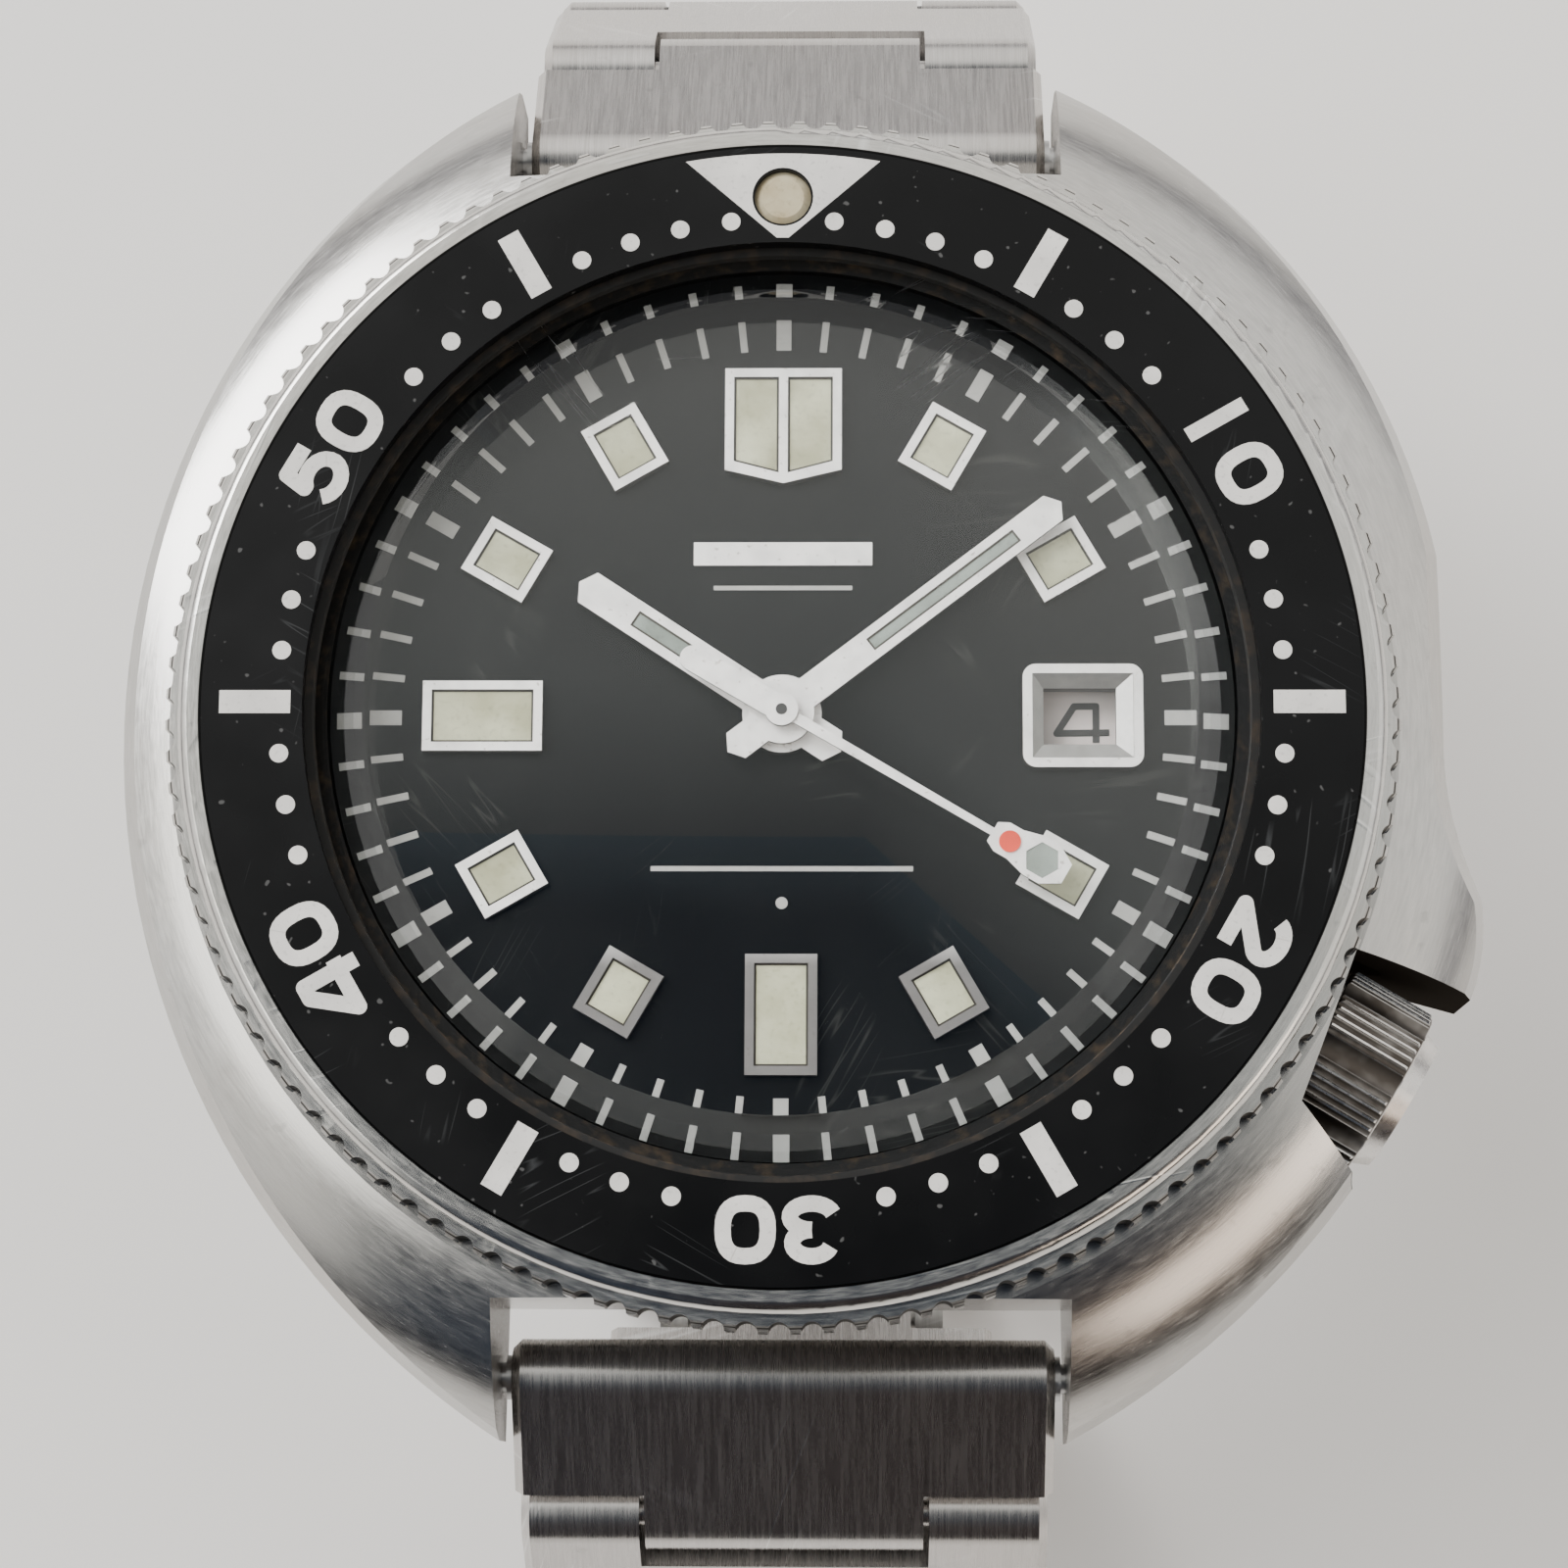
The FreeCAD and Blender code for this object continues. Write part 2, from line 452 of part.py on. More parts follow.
# ---------------------------------------------------------------- crown and setting parts
def make_crown():
    s = S
    crown = SubPart("crown", CROWN_FRAME)
    crown.revolve([[
        (s.crown_inner, s.crown_bore_r), (s.crown_inner, s.crown_r - 0.15), (s.crown_inner + 0.15, s.crown_r),
        (s.crown_knurl_end - 0.15, s.crown_r), (s.crown_knurl_end, s.crown_r - 0.2),
        (s.crown_knurl_end, s.crown_cap_r), (s.crown_outer, s.crown_cap_r - 0.25), (s.crown_outer, 0.0),
        (s.crown_bore_end, 0.0), (s.crown_bore_end, s.crown_bore_r)]], plane="XY_Plane", axis="H_Axis")
    length = s.crown_knurl_end - s.crown_inner + 0.2
    # eight wide flutes, and a group of five fine ridges between each two
    flute = crown.pocket([circle(0.0, s.crown_r + 0.28, s.crown_flute_r)], s.crown_inner - 0.1, length,
                         plane="YZ_Plane")
    crown.repeat(flute, "X_Axis", 8)
    for step in range(1, 6):
        tilt = math.radians(90.0 + step * 45.0 / 7.0 + 45.0 / 14.0)
        x, y = s.crown_r * math.cos(tilt), s.crown_r * math.sin(tilt)
        ridge = crown.pocket([circle(x, y, s.crown_ridge_r)], s.crown_inner - 0.1, length, plane="YZ_Plane")
        crown.repeat(ridge, "X_Axis", 8)
    stem = SubPart("winding_stem", CROWN_FRAME)
    stem.revolve([[
        (s.stem_start, 0.0), (s.crown_bore_end, 0.0), (s.crown_bore_end, s.stem_r),
        (s.lever_end + 0.05, s.stem_r), (s.lever_end + 0.05, s.stem_groove_r),
        (s.lever_start - 0.05, s.stem_groove_r), (s.lever_start - 0.05, s.stem_r), (s.stem_start, s.stem_r)]],
        plane="XY_Plane", axis="H_Axis")
    ring_seal = SubPart("crown_gasket", CROWN_FRAME)
    ring_seal.revolve([box(s.tube_end + 0.1, s.stem_r, s.crown_bore_end, s.crown_bore_r)], plane="XY_Plane",
                      axis="H_Axis")
    lever = SubPart("setting_lever", CROWN_FRAME)
    lever.revolve([box(s.lever_start, s.stem_groove_r + 0.05, s.lever_end, s.lever_r * 0.8)],
                  plane="XY_Plane", axis="H_Axis")


# ---------------------------------------------------------------- dial
def shield(inset):
    s = S
    half, top = s.shield_half_width - inset, s.shield_top_y - inset
    return [(-half, top), (-half, s.shield_shoulder_y + inset), (0.0, s.shield_point_y + inset),
            (half, s.shield_shoulder_y + inset), (half, top)]


def shield_half(side):
    """One lume window of the split 12 o'clock marker."""
    s = S
    inner, outer = s.shield_split, s.shield_half_width - s.marker_border
    top, floor = s.shield_top_y - s.marker_border, s.shield_shoulder_y + s.marker_border
    low = floor - 0.4
    corners = [(inner, top), (inner, low), (outer, floor), (outer, top)]
    return [(x if side > 0 else -x, y) for x, y in corners]


def tile(inset):
    s = S
    half_width, half_length = s.marker_width / 2 - inset, s.marker_length / 2 - inset
    return box(-half_width, s.marker_mid_r - half_length, half_width, s.marker_mid_r + half_length)


def bar(inset):
    s = S
    half = s.bar_marker_width / 2 - inset
    return box(-half, s.bar_marker_inner + inset, half, s.bar_marker_outer - inset)


def make_dial():
    s = S
    dial = SubPart("dial")
    dial.pad([circle(0.0, 0.0, s.dial_r), circle(0.0, 0.0, s.dial_hole_r),
              box(s.window_x - s.window_width / 2, -s.window_height / 2,
                  s.window_x + s.window_width / 2, s.window_height / 2)],
             s.dial_floor_z, s.dial_top_z - s.dial_floor_z)
    markers, lume = SubPart("hour_markers"), SubPart("marker_lume")
    rise, fill = s.marker_top_z - s.dial_top_z, s.lume_top_z - s.dial_top_z
    markers.pad([shield(0.0), shield_half(1), shield_half(-1)], s.dial_top_z, rise)
    lume.pad([shield_half(1), shield_half(-1)], s.dial_top_z, fill)
    for turn in (180.0, 90.0):
        markers.pad([bar(0.0), bar(s.marker_border)], s.dial_top_z, rise, turn=turn)
        lume.pad([bar(s.marker_border)], s.dial_top_z, fill, turn=turn)
    for hour in REGULAR_MARKERS:
        markers.pad([tile(0.0), tile(s.marker_border)], s.dial_top_z, rise, turn=-30.0 * hour)
        lume.pad([tile(s.marker_border)], s.dial_top_z, fill, turn=-30.0 * hour)
    frame = SubPart("date_window_frame")
    low, high, half, corner = s.frame_inner_x, s.frame_outer_x, s.frame_height / 2, s.frame_corner_r
    frame.pad([[
        (low, -half + corner), (low + corner, -half, corner), (high - corner, -half),
        (high, -half + corner, corner), (high, half - corner), (high - corner, half, corner),
        (low + corner, half), (low, half - corner, corner)],
        box(s.window_x - s.window_width / 2, -s.window_height / 2,
            s.window_x + s.window_width / 2, s.window_height / 2)],
        s.dial_top_z, s.frame_top_z - s.dial_top_z)
    step = s.frame_step
    frame.pocket([box(low + step, -half + step, high - step, half - step)], s.frame_step_z, 1.0)


# ---------------------------------------------------------------- hands
def baton(length, width, tail, point):
    half = width / 2
    return [(-half, -tail + point), (0.0, -tail), (half, -tail + point), (half, length - point),
            (0.0, length), (-half, length - point)]


def slot(start, end, width):
    return box(-width / 2, start, width / 2, end)


def hexagon(centre_y, radius):
    corners = [math.radians(60.0 * number) for number in range(6)]
    return [(radius * math.sin(angle), centre_y + radius * math.cos(angle)) for angle in corners]


def make_hands():
    s = S
    hour = SubPart("hour_hand", turned(-s.hour_angle))
    hour.pad([baton(s.hour_length, s.hour_width, s.hour_tail, s.hand_point),
              slot(s.hour_slot_start, s.hour_slot_end, s.hour_slot_width)], s.hour_floor_z, s.hand_thickness)
    hour.revolve([box(0.0, s.hour_floor_z, s.hour_hub_r, s.hour_floor_z + s.hand_thickness)])
    hour.revolve([box(0.0, s.hour_pipe_floor_z, s.hour_pipe_r, s.hour_floor_z + s.hand_thickness)])
    hour.groove([box(0.0, s.hour_pipe_floor_z - 0.5, s.hour_pipe_bore_r, 10.5)])
    hour_lume = SubPart("hour_hand_lume", turned(-s.hour_angle))
    hour_lume.pad([slot(s.hour_slot_start, s.hour_slot_end, s.hour_slot_width)], s.hour_floor_z,
                  s.hand_thickness - 0.04)
    minute = SubPart("minute_hand", turned(-s.minute_angle))
    minute.pad([baton(s.minute_length, s.minute_width, s.minute_tail, s.hand_point),
                slot(s.minute_slot_start, s.minute_slot_end, s.minute_slot_width)],
               s.minute_floor_z, s.hand_thickness)
    minute.revolve([box(0.0, s.minute_floor_z, s.minute_hub_r, s.minute_floor_z + s.hand_thickness)])
    minute.revolve([box(0.0, s.minute_pipe_floor_z, s.minute_pipe_r, s.minute_floor_z + s.hand_thickness)])
    minute.groove([box(0.0, s.minute_pipe_floor_z - 0.5, s.minute_pipe_bore_r, 10.5)])
    minute_lume = SubPart("minute_hand_lume", turned(-s.minute_angle))
    minute_lume.pad([slot(s.minute_slot_start, s.minute_slot_end, s.minute_slot_width)], s.minute_floor_z,
                    s.hand_thickness - 0.04)
    second = SubPart("second_hand", turned(-s.second_angle))
    half, tail = s.second_width / 2, s.second_tail_width / 2
    second.pad([[(-tail, tail - s.second_tail), (0.0, -s.second_tail, tail), (tail, tail - s.second_tail, tail),
                 (tail, 0.0), (half, 0.6),
                 (half * 0.6, s.second_length), (-half * 0.6, s.second_length), (-half, 0.6), (-tail, 0.0)]],
               s.second_floor_z, s.second_thickness)
    plate = [(s.plate_end_half, s.plate_start_y), (s.plate_half_width, s.plate_shoulder_y),
             (s.plate_half_width, s.plate_neck_y), (s.plate_wide_half, s.plate_wide_y),
             (s.plate_wide_half, s.plate_bevel_y), (s.plate_end_half, s.second_length)]
    second.pad([plate + [(-x, y) for x, y in reversed(plate)]], s.second_floor_z, s.second_thickness)
    second.pocket([hexagon(s.second_window_y, s.second_window_r)], s.second_floor_z - 0.1, 1.0)
    second.revolve([box(0.0, s.second_floor_z, s.second_hub_r, s.second_floor_z + s.second_thickness + 0.08)])
    second.revolve([box(0.0, s.second_floor, s.second_arbor_r, s.second_floor_z + 0.1)])
    second_lume = SubPart("second_hand_lume", turned(-s.second_angle))
    second_lume.pad([hexagon(s.second_window_y, s.second_window_r)], s.second_floor_z,
                    s.second_thickness - 0.03)


# ---------------------------------------------------------------- movement
def make_movement():
    s = S
    holder = ring("movement_ring", s.ring_bore_r, s.ring_outer_r, s.movement_ring_floor_z, s.dial_floor_z)
    holder.groove([box(13.0, 0.0, 16.0, s.stem_r + 0.4)], plane="XY_Plane", axis="H_Axis",
                  offset=s.crown_axis_z, turn=-s.crown_tilt)
    plate = SubPart("main_plate", turned(-s.crown_tilt))
    plate.pad([circle(0.0, 0.0, s.plate_r), circle(0.0, 0.0, s.plate_hole_r)], s.plate_floor_z,
              s.plate_top_z - s.plate_floor_z)
    plate.pocket([box(s.keyless_start, -s.keyless_half_width, s.keyless_end, s.keyless_half_width)],
                 s.plate_floor_z - 0.5, s.keyless_top_z - s.plate_floor_z + 0.5)
    plate.pocket([circle(-s.balance_x, s.balance_y, s.balance_well_r)], s.plate_floor_z - 0.5,
                 s.balance_well_top_z - s.plate_floor_z + 0.5)
    plate.groove([box(s.keyless_start - 1.0, 0.0, 15.0, s.stem_r + 0.08)], plane="XY_Plane", axis="H_Axis",
                 offset=s.crown_axis_z)
    bridge = SubPart("train_bridge", turned(-s.crown_tilt))
    bridge.pad([circle(0.0, 0.0, s.bridge_r), circle(-s.balance_x, s.balance_y, s.balance_well_r)],
               s.bridge_floor_z, s.plate_floor_z - s.bridge_floor_z)
    screw = bridge.pocket([circle(0.0, -s.bridge_screw_pitch_r, s.bridge_screw_r)],
                          s.bridge_floor_z - 0.2, 0.6)
    bridge.repeat(screw, "Z_Axis", 3, angle=90.0)
    balance_frame = turned(-s.crown_tilt)
    balance_frame.Base = balance_frame.Rotation.multVec(Vector(-float(s.balance_x), float(s.balance_y), 0))
    balance = SubPart("balance_wheel", balance_frame)
    rim, spoke = s.balance_r - s.balance_rim, s.spoke_width / 2
    balance.pad([circle(0.0, 0.0, s.balance_r), circle(0.0, 0.0, rim)], s.balance_floor_z, s.balance_height)
    balance.pad([box(-rim - 0.2, -spoke, rim + 0.2, spoke)], s.balance_floor_z, s.balance_height)
    balance.pad([circle(0.0, 0.0, s.staff_r)], s.staff_floor_z, s.staff_top_z - s.staff_floor_z)
    hairspring = SubPart("hairspring", balance_frame)
    for coil in range(4):
        inner = s.staff_r + 0.1 + s.spring_coil_gap * coil
        hairspring.pad([circle(0.0, 0.0, inner + s.spring_coil_wall), circle(0.0, 0.0, inner)],
                       s.spring_coil_floor_z, s.spring_coil_height)
    hairspring.pad([box(s.staff_r + 0.12, -0.08, s.staff_r + 0.1 + s.spring_coil_gap * 3 + 0.06, 0.08)],
                   s.spring_coil_floor_z, s.spring_coil_height)
    cock = SubPart("balance_bridge", balance_frame)
    cock.pad([box(-s.cock_length / 2, -s.cock_width / 2, s.cock_length / 2, s.cock_width / 2)],
             s.bridge_floor_z, s.cock_top_z - s.bridge_floor_z)
    bearing = SubPart("rotor_bearing")
    bearing.revolve([[(0.0, s.bearing_floor_z), (s.bearing_cap_r, s.bearing_floor_z),
                      (s.bearing_cap_r, s.bearing_cap_z), (s.bearing_r, s.bearing_cap_z),
                      (s.bearing_r, s.bridge_floor_z), (0.0, s.bridge_floor_z)]])
    rotor = SubPart("rotor")
    rotor.revolve([box(s.rotor_bore_r, s.rotor_floor_z, s.rotor_hub_r, s.rotor_top_z)])
    rotor.revolve([box(s.rotor_hub_r - 0.1, s.rotor_web_floor_z, s.rotor_rim_r, s.rotor_web_top_z)],
                  angle=s.rotor_sweep)
    rotor.revolve([box(s.rotor_rim_r - 0.1, s.rotor_floor_z - 0.1, s.rotor_r, s.rotor_top_z)],
                  angle=s.rotor_sweep)
    date = SubPart("date_disc")
    date.pad([circle(0.0, 0.0, s.date_outer_r), circle(0.0, 0.0, s.date_inner_r)], s.date_floor_z,
             s.date_top_z - s.date_floor_z)
    tooth = date.pocket([circle(0.0, s.date_inner_r, s.date_tooth_r)], s.date_floor_z - 0.1, 0.5)
    date.repeat(tooth, "Z_Axis", s.date_teeth)


# ---------------------------------------------------------------- bracelet
def pitch_of(number):
    return S.link_pitch if number else S.first_pitch


def stations(side):
    """Hinge points and slopes of one half; side is +1 for the 12 o'clock half and -1 for the other."""
    y, z = float(S.spring_bar_y), float(S.spring_bar_z)
    points = []
    for number in range(LINKS_PER_SIDE):
        slope = float(S.second_slope + S.bend_step * (number - 1)) if number else float(S.first_slope)
        points.append((y, z, slope))
        y += float(pitch_of(number)) * math.cos(math.radians(slope))
        z -= float(pitch_of(number)) * math.sin(math.radians(slope))
    points.append((y, z, 180.0))
    return [(side * y, z, slope) for y, z, slope in points]


def link_frame(side, station):
    y, z, slope = station
    turn = Rotation(Vector(1, 0, 0), -side * slope)
    if side > 0:
        turn = turn.multiply(Rotation(Vector(0, 0, 1), 180.0))
    return Placement(Vector(0, y, z), turn)


def make_link(label, number, frame):
    """A link runs from its own hinge at the origin along -Y to the next link's hinge."""
    s = S
    link = SubPart(label, frame)
    half, pitch = s.link_thickness / 2, pitch_of(number)
    width = s.first_link_width - s.link_taper * number
    clear = half + s.link_clearance
    link.pad([[(0.0, -half), (half, 0.0, half), (0.0, half, half), (-pitch, half),
               (-pitch - half, 0.0, half), (-pitch, -half, half)]], -width / 2, width, plane="YZ_Plane")
    edge_x = float(width) / 2 - 0.01
    link.soften("Chamfer", s.link_edge, lambda p: abs(p.x) > edge_x)
    sides = [box(s.tongue_width / 2, -pitch - 3.0, 12.0, -pitch + clear),
             box(-12.0, -pitch - 3.0, -s.tongue_width / 2, -pitch + clear)]
    link.pocket(sides, -3.0, 6.0)
    hole = circle(-pitch, 0.0, s.pin_r + s.pin_clearance)
    link.pocket([hole], -6.0, 12.0, plane="YZ_Plane")
    if number == 0:
        bore = circle(0.0, 0.0, s.spring_bar_r + s.pin_clearance)
        link.pocket([bore], -10.0, 20.0, plane="YZ_Plane")
    else:
        gap = s.fork_gap / 2
        link.pocket([box(-gap, -clear, gap, 3.0)], -3.0, 6.0)
        link.pad([circle(0.0, 0.0, s.pin_r)], -gap - 0.3, s.fork_gap + 0.6, plane="YZ_Plane")


def make_bracelet():
    for name, side in (("link_12", 1), ("link_6", -1)):
        for number, station in enumerate(stations(side)[:LINKS_PER_SIDE]):
            make_link("%s_%d" % (name, number + 1), number, link_frame(side, station))


def make_clasp():
    s = S
    pivot_y, pivot_z, _ = stations(1)[LINKS_PER_SIDE]
    level = Placement(Vector(0, 0, pivot_z), Rotation())
    floor = -s.cover_floor_drop
    wall_x, skin = s.cover_half_width, s.cover_wall
    # cover: a channel open towards the wrist
    cover = SubPart("clasp_cover", level)
    cover.pad([box(-s.cover_end_6_y, floor, s.cover_end_12_y, floor + s.cover_plate)], -wall_x, wall_x * 2,
              plane="YZ_Plane")
    for start in (-wall_x, wall_x - skin):
        cover.pad([[(-s.cover_end_6_y, floor), (s.cover_end_12_y, floor), (s.cover_end_12_y, 0.2),
                    (s.cover_end_12_y - 1.6, s.cover_wall_top), (-s.cover_end_6_y + 1.6, s.cover_wall_top),
                    (-s.cover_end_6_y, 0.2)]], start, skin, plane="YZ_Plane")
    # the cover's hinge block on leaf 2
    knuckle, drop = s.cover_knuckle_r, s.leaf_2_drop + s.leaf_thickness / 2
    cover.pad([box(-s.leaf_hinge_6_y - knuckle, floor + 0.2, -s.leaf_hinge_6_y + knuckle, -drop)],
              -s.leaf_knuckle_half, s.leaf_knuckle_half * 2, plane="YZ_Plane")
    cover.pad([circle(-s.leaf_hinge_6_y, -drop, knuckle)], -s.leaf_knuckle_half, s.leaf_knuckle_half * 2,
              plane="YZ_Plane")
    cover.pocket([circle(-s.leaf_hinge_6_y, -drop, s.leaf_pin_r + 0.05)], -9.0, 18.0, plane="YZ_Plane")
    # end cap: carries the adjusting spring bar
    cap = SubPart("clasp_end_cap", level)
    cap.pad([box(s.cap_start_y, floor, s.cap_end_y, floor + s.cover_plate)], -wall_x, wall_x * 2,
            plane="YZ_Plane")
    for start in (-wall_x, wall_x - skin):
        cap.pad([[(s.cap_start_y, floor), (s.cap_end_y, floor), (pivot_y + s.cap_ear_r, 0.0),
                  (pivot_y, s.cap_ear_r, s.cap_ear_r), (pivot_y - s.cap_ear_r, 0.0, s.cap_ear_r),
                  (s.cap_start_y, -0.4)]], start, skin, plane="YZ_Plane")
    cap.pocket([circle(pivot_y, 0.0, s.pin_r)], -12.0, 24.0, plane="YZ_Plane")
    bar = SubPart("clasp_spring_bar", Placement(Vector(0, pivot_y, pivot_z), Rotation()))
    bar.pad([circle(0.0, 0.0, s.pin_r)], -wall_x, wall_x * 2, plane="YZ_Plane")
    # leaf 1: hinged to the last link of the 6 o'clock half
    leaf = SubPart("clasp_leaf_1", level)
    thick, half = s.leaf_thickness, s.leaf_half_width
    top = -s.leaf_1_drop
    leaf.pad([box(-s.leaf_1_start_y, top - thick, s.leaf_hinge_12_y - 1.0, top)], -half, half * 2,
             plane="YZ_Plane")
    ear, reach = s.leaf_ear, s.fork_gap / 2
    for start in (-reach - ear, reach):
        leaf.pad([[(-pivot_y, -s.leaf_ear_r), (-s.leaf_1_start_y + 1.0, top - thick),
                   (-s.leaf_1_start_y + 1.0, top), (-pivot_y, s.leaf_ear_r)]], start, ear, plane="YZ_Plane")
        leaf.pad([circle(-pivot_y, 0.0, s.leaf_ear_r)], start, ear, plane="YZ_Plane")
    leaf.pad([circle(-pivot_y, 0.0, s.pin_r)], -reach - 0.4, s.fork_gap + 0.8, plane="YZ_Plane")
    knuckle = s.leaf_knuckle_r
    hinge_y, hinge_z = s.leaf_hinge_12_y, -(s.leaf_1_drop + s.leaf_2_drop + thick) / 2
    leaf.pad([circle(hinge_y, hinge_z, knuckle)], -s.leaf_knuckle_half, s.leaf_knuckle_half * 2,
             plane="YZ_Plane")
    leaf.pad([box(hinge_y - 1.3, top - thick, hinge_y, top)], -s.leaf_knuckle_half, s.leaf_knuckle_half * 2,
             plane="YZ_Plane")
    leaf.pocket([circle(hinge_y, hinge_z, s.leaf_pin_r + 0.05)], -9.0, 18.0, plane="YZ_Plane")
    # leaf 2: folds between leaf 1 and the cover
    second = SubPart("clasp_leaf_2", level)
    roof = -s.leaf_2_drop
    second.pad([box(-s.leaf_hinge_6_y + 1.0, roof - thick, hinge_y - 1.0, roof)], -half, half * 2,
               plane="YZ_Plane")
    outer = s.leaf_knuckle_half + 0.2
    for start in (-half, outer):
        length = half - outer
        second.pad([circle(hinge_y, hinge_z, knuckle)], start, length, plane="YZ_Plane")
        second.pad([box(hinge_y - 1.3, roof - thick, hinge_y, roof)], start, length, plane="YZ_Plane")
        second.pad([circle(-s.leaf_hinge_6_y, -drop, s.cover_knuckle_r)], start, length, plane="YZ_Plane")
        second.pad([box(-s.leaf_hinge_6_y, roof - thick, -s.leaf_hinge_6_y + 1.2, roof)], start, length,
                   plane="YZ_Plane")
    second.pad([circle(hinge_y, hinge_z, s.leaf_pin_r)], -half + 0.2, half * 2 - 0.4, plane="YZ_Plane")
    second.pad([circle(-s.leaf_hinge_6_y, -drop, s.leaf_pin_r)], -half + 0.2, half * 2 - 0.4,
               plane="YZ_Plane")


make_case()
make_case_fittings()
make_bezel()
make_crown()
make_dial()
make_hands()
make_movement()
make_bracelet()
make_clasp()
doc.recompute()

for item in doc.Objects:
    if "Invalid" in item.State or "Error" in item.State:
        raise RuntimeError("%s does not rebuild: %s" % (item.Name, item.State))
os.makedirs("parts", exist_ok=True)
for part in SubPart.all:
    shape = part.body.Shape
    if shape.isNull() or not shape.isValid() or not shape.Solids:
        raise RuntimeError("%s has no valid solid" % part.label)
    shape.exportStep("parts/%s.step" % part.label)
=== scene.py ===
# The watch's looks: materials for the CAD bodies, the printed marks, the floor, the light and the camera.
import json
import math

import bpy
from mathutils import Matrix, Vector


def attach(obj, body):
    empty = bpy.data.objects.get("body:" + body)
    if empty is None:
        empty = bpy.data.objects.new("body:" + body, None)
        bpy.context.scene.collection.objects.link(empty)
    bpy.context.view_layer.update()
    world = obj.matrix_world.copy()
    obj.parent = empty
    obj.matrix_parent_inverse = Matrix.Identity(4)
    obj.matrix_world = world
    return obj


MM = 0.001
# Where the CAD bodies stand. The hands' angles are in degrees, clockwise from 12 o'clock, and lengths are in
# millimetres. CROWN_TURN turns the crown's axis onto X.
HOUR_ANGLE, MINUTE_ANGLE, SECOND_ANGLE = 303.5, 52.5, 120.5
CROWN_TURN, CROWN_AXIS_Z = (0.0, 0.0, math.radians(31.0)), 5.6
BEZEL_TOP, DIAL_TOP, DATE_TOP, LUME_TOP = 12.3, 8.9, 8.0, 9.2
# Thickness of a printed mark, in millimetres.
INK = 0.012

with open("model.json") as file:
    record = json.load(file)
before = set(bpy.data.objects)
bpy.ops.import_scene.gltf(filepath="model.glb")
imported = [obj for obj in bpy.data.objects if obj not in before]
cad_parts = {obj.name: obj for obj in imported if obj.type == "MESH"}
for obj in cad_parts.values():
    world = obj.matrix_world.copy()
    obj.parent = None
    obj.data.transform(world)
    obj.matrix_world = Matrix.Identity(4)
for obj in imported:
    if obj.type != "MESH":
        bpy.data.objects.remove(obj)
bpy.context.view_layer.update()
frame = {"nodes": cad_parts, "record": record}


# ------------------------------------------------------------------ node helpers
class Nodes:
    """Short names for the nodes of one node tree."""

    def __init__(self, tree):
        self.tree = tree

    def node(self, kind, **values):
        node = self.tree.nodes.new(kind)
        for key, value in values.items():
            setattr(node, key, value)
        return node

    def link(self, source, target):
        self.tree.links.new(source, target)

    def feed(self, socket, value):
        if isinstance(value, bpy.types.NodeSocket):
            self.link(value, socket)
        else:
            socket.default_value = value

    def split(self, vector):
        """The X, Y and Z of a vector."""
        parts = self.node("ShaderNodeSeparateXYZ")
        self.link(vector, parts.inputs["Vector"])
        return [parts.outputs[k] for k in "XYZ"]

    def math(self, operation, first, second=0.0):
        node = self.node("ShaderNodeMath", operation=operation)
        self.feed(node.inputs[0], first)
        self.feed(node.inputs[1], second)
        return node.outputs["Value"]

    def ramp(self, value, *stops):
        """Map value through (place, level) stops; a level is a number or an RGB colour."""
        ramp = self.node("ShaderNodeValToRGB")
        colours = ramp.color_ramp.elements
        while len(colours) < len(stops):
            colours.new(0.5)
        for element, (place, level) in zip(colours, stops):
            element.position = place
            element.color = (level, level, level, 1.0) if isinstance(level, float) else (*level, 1.0)
        self.link(value, ramp.inputs["Fac"])
        return ramp.outputs["Color"]

    def mix(self, amount, first, second, blend="MIX"):
        node = self.node("ShaderNodeMix", data_type="RGBA", blend_type=blend)
        self.feed(node.inputs["Factor"], amount)
        self.feed(node.inputs["A"], first if isinstance(first, bpy.types.NodeSocket) else (*first, 1.0))
        self.feed(node.inputs["B"], second if isinstance(second, bpy.types.NodeSocket) else (*second, 1.0))
        return node.outputs["Result"]


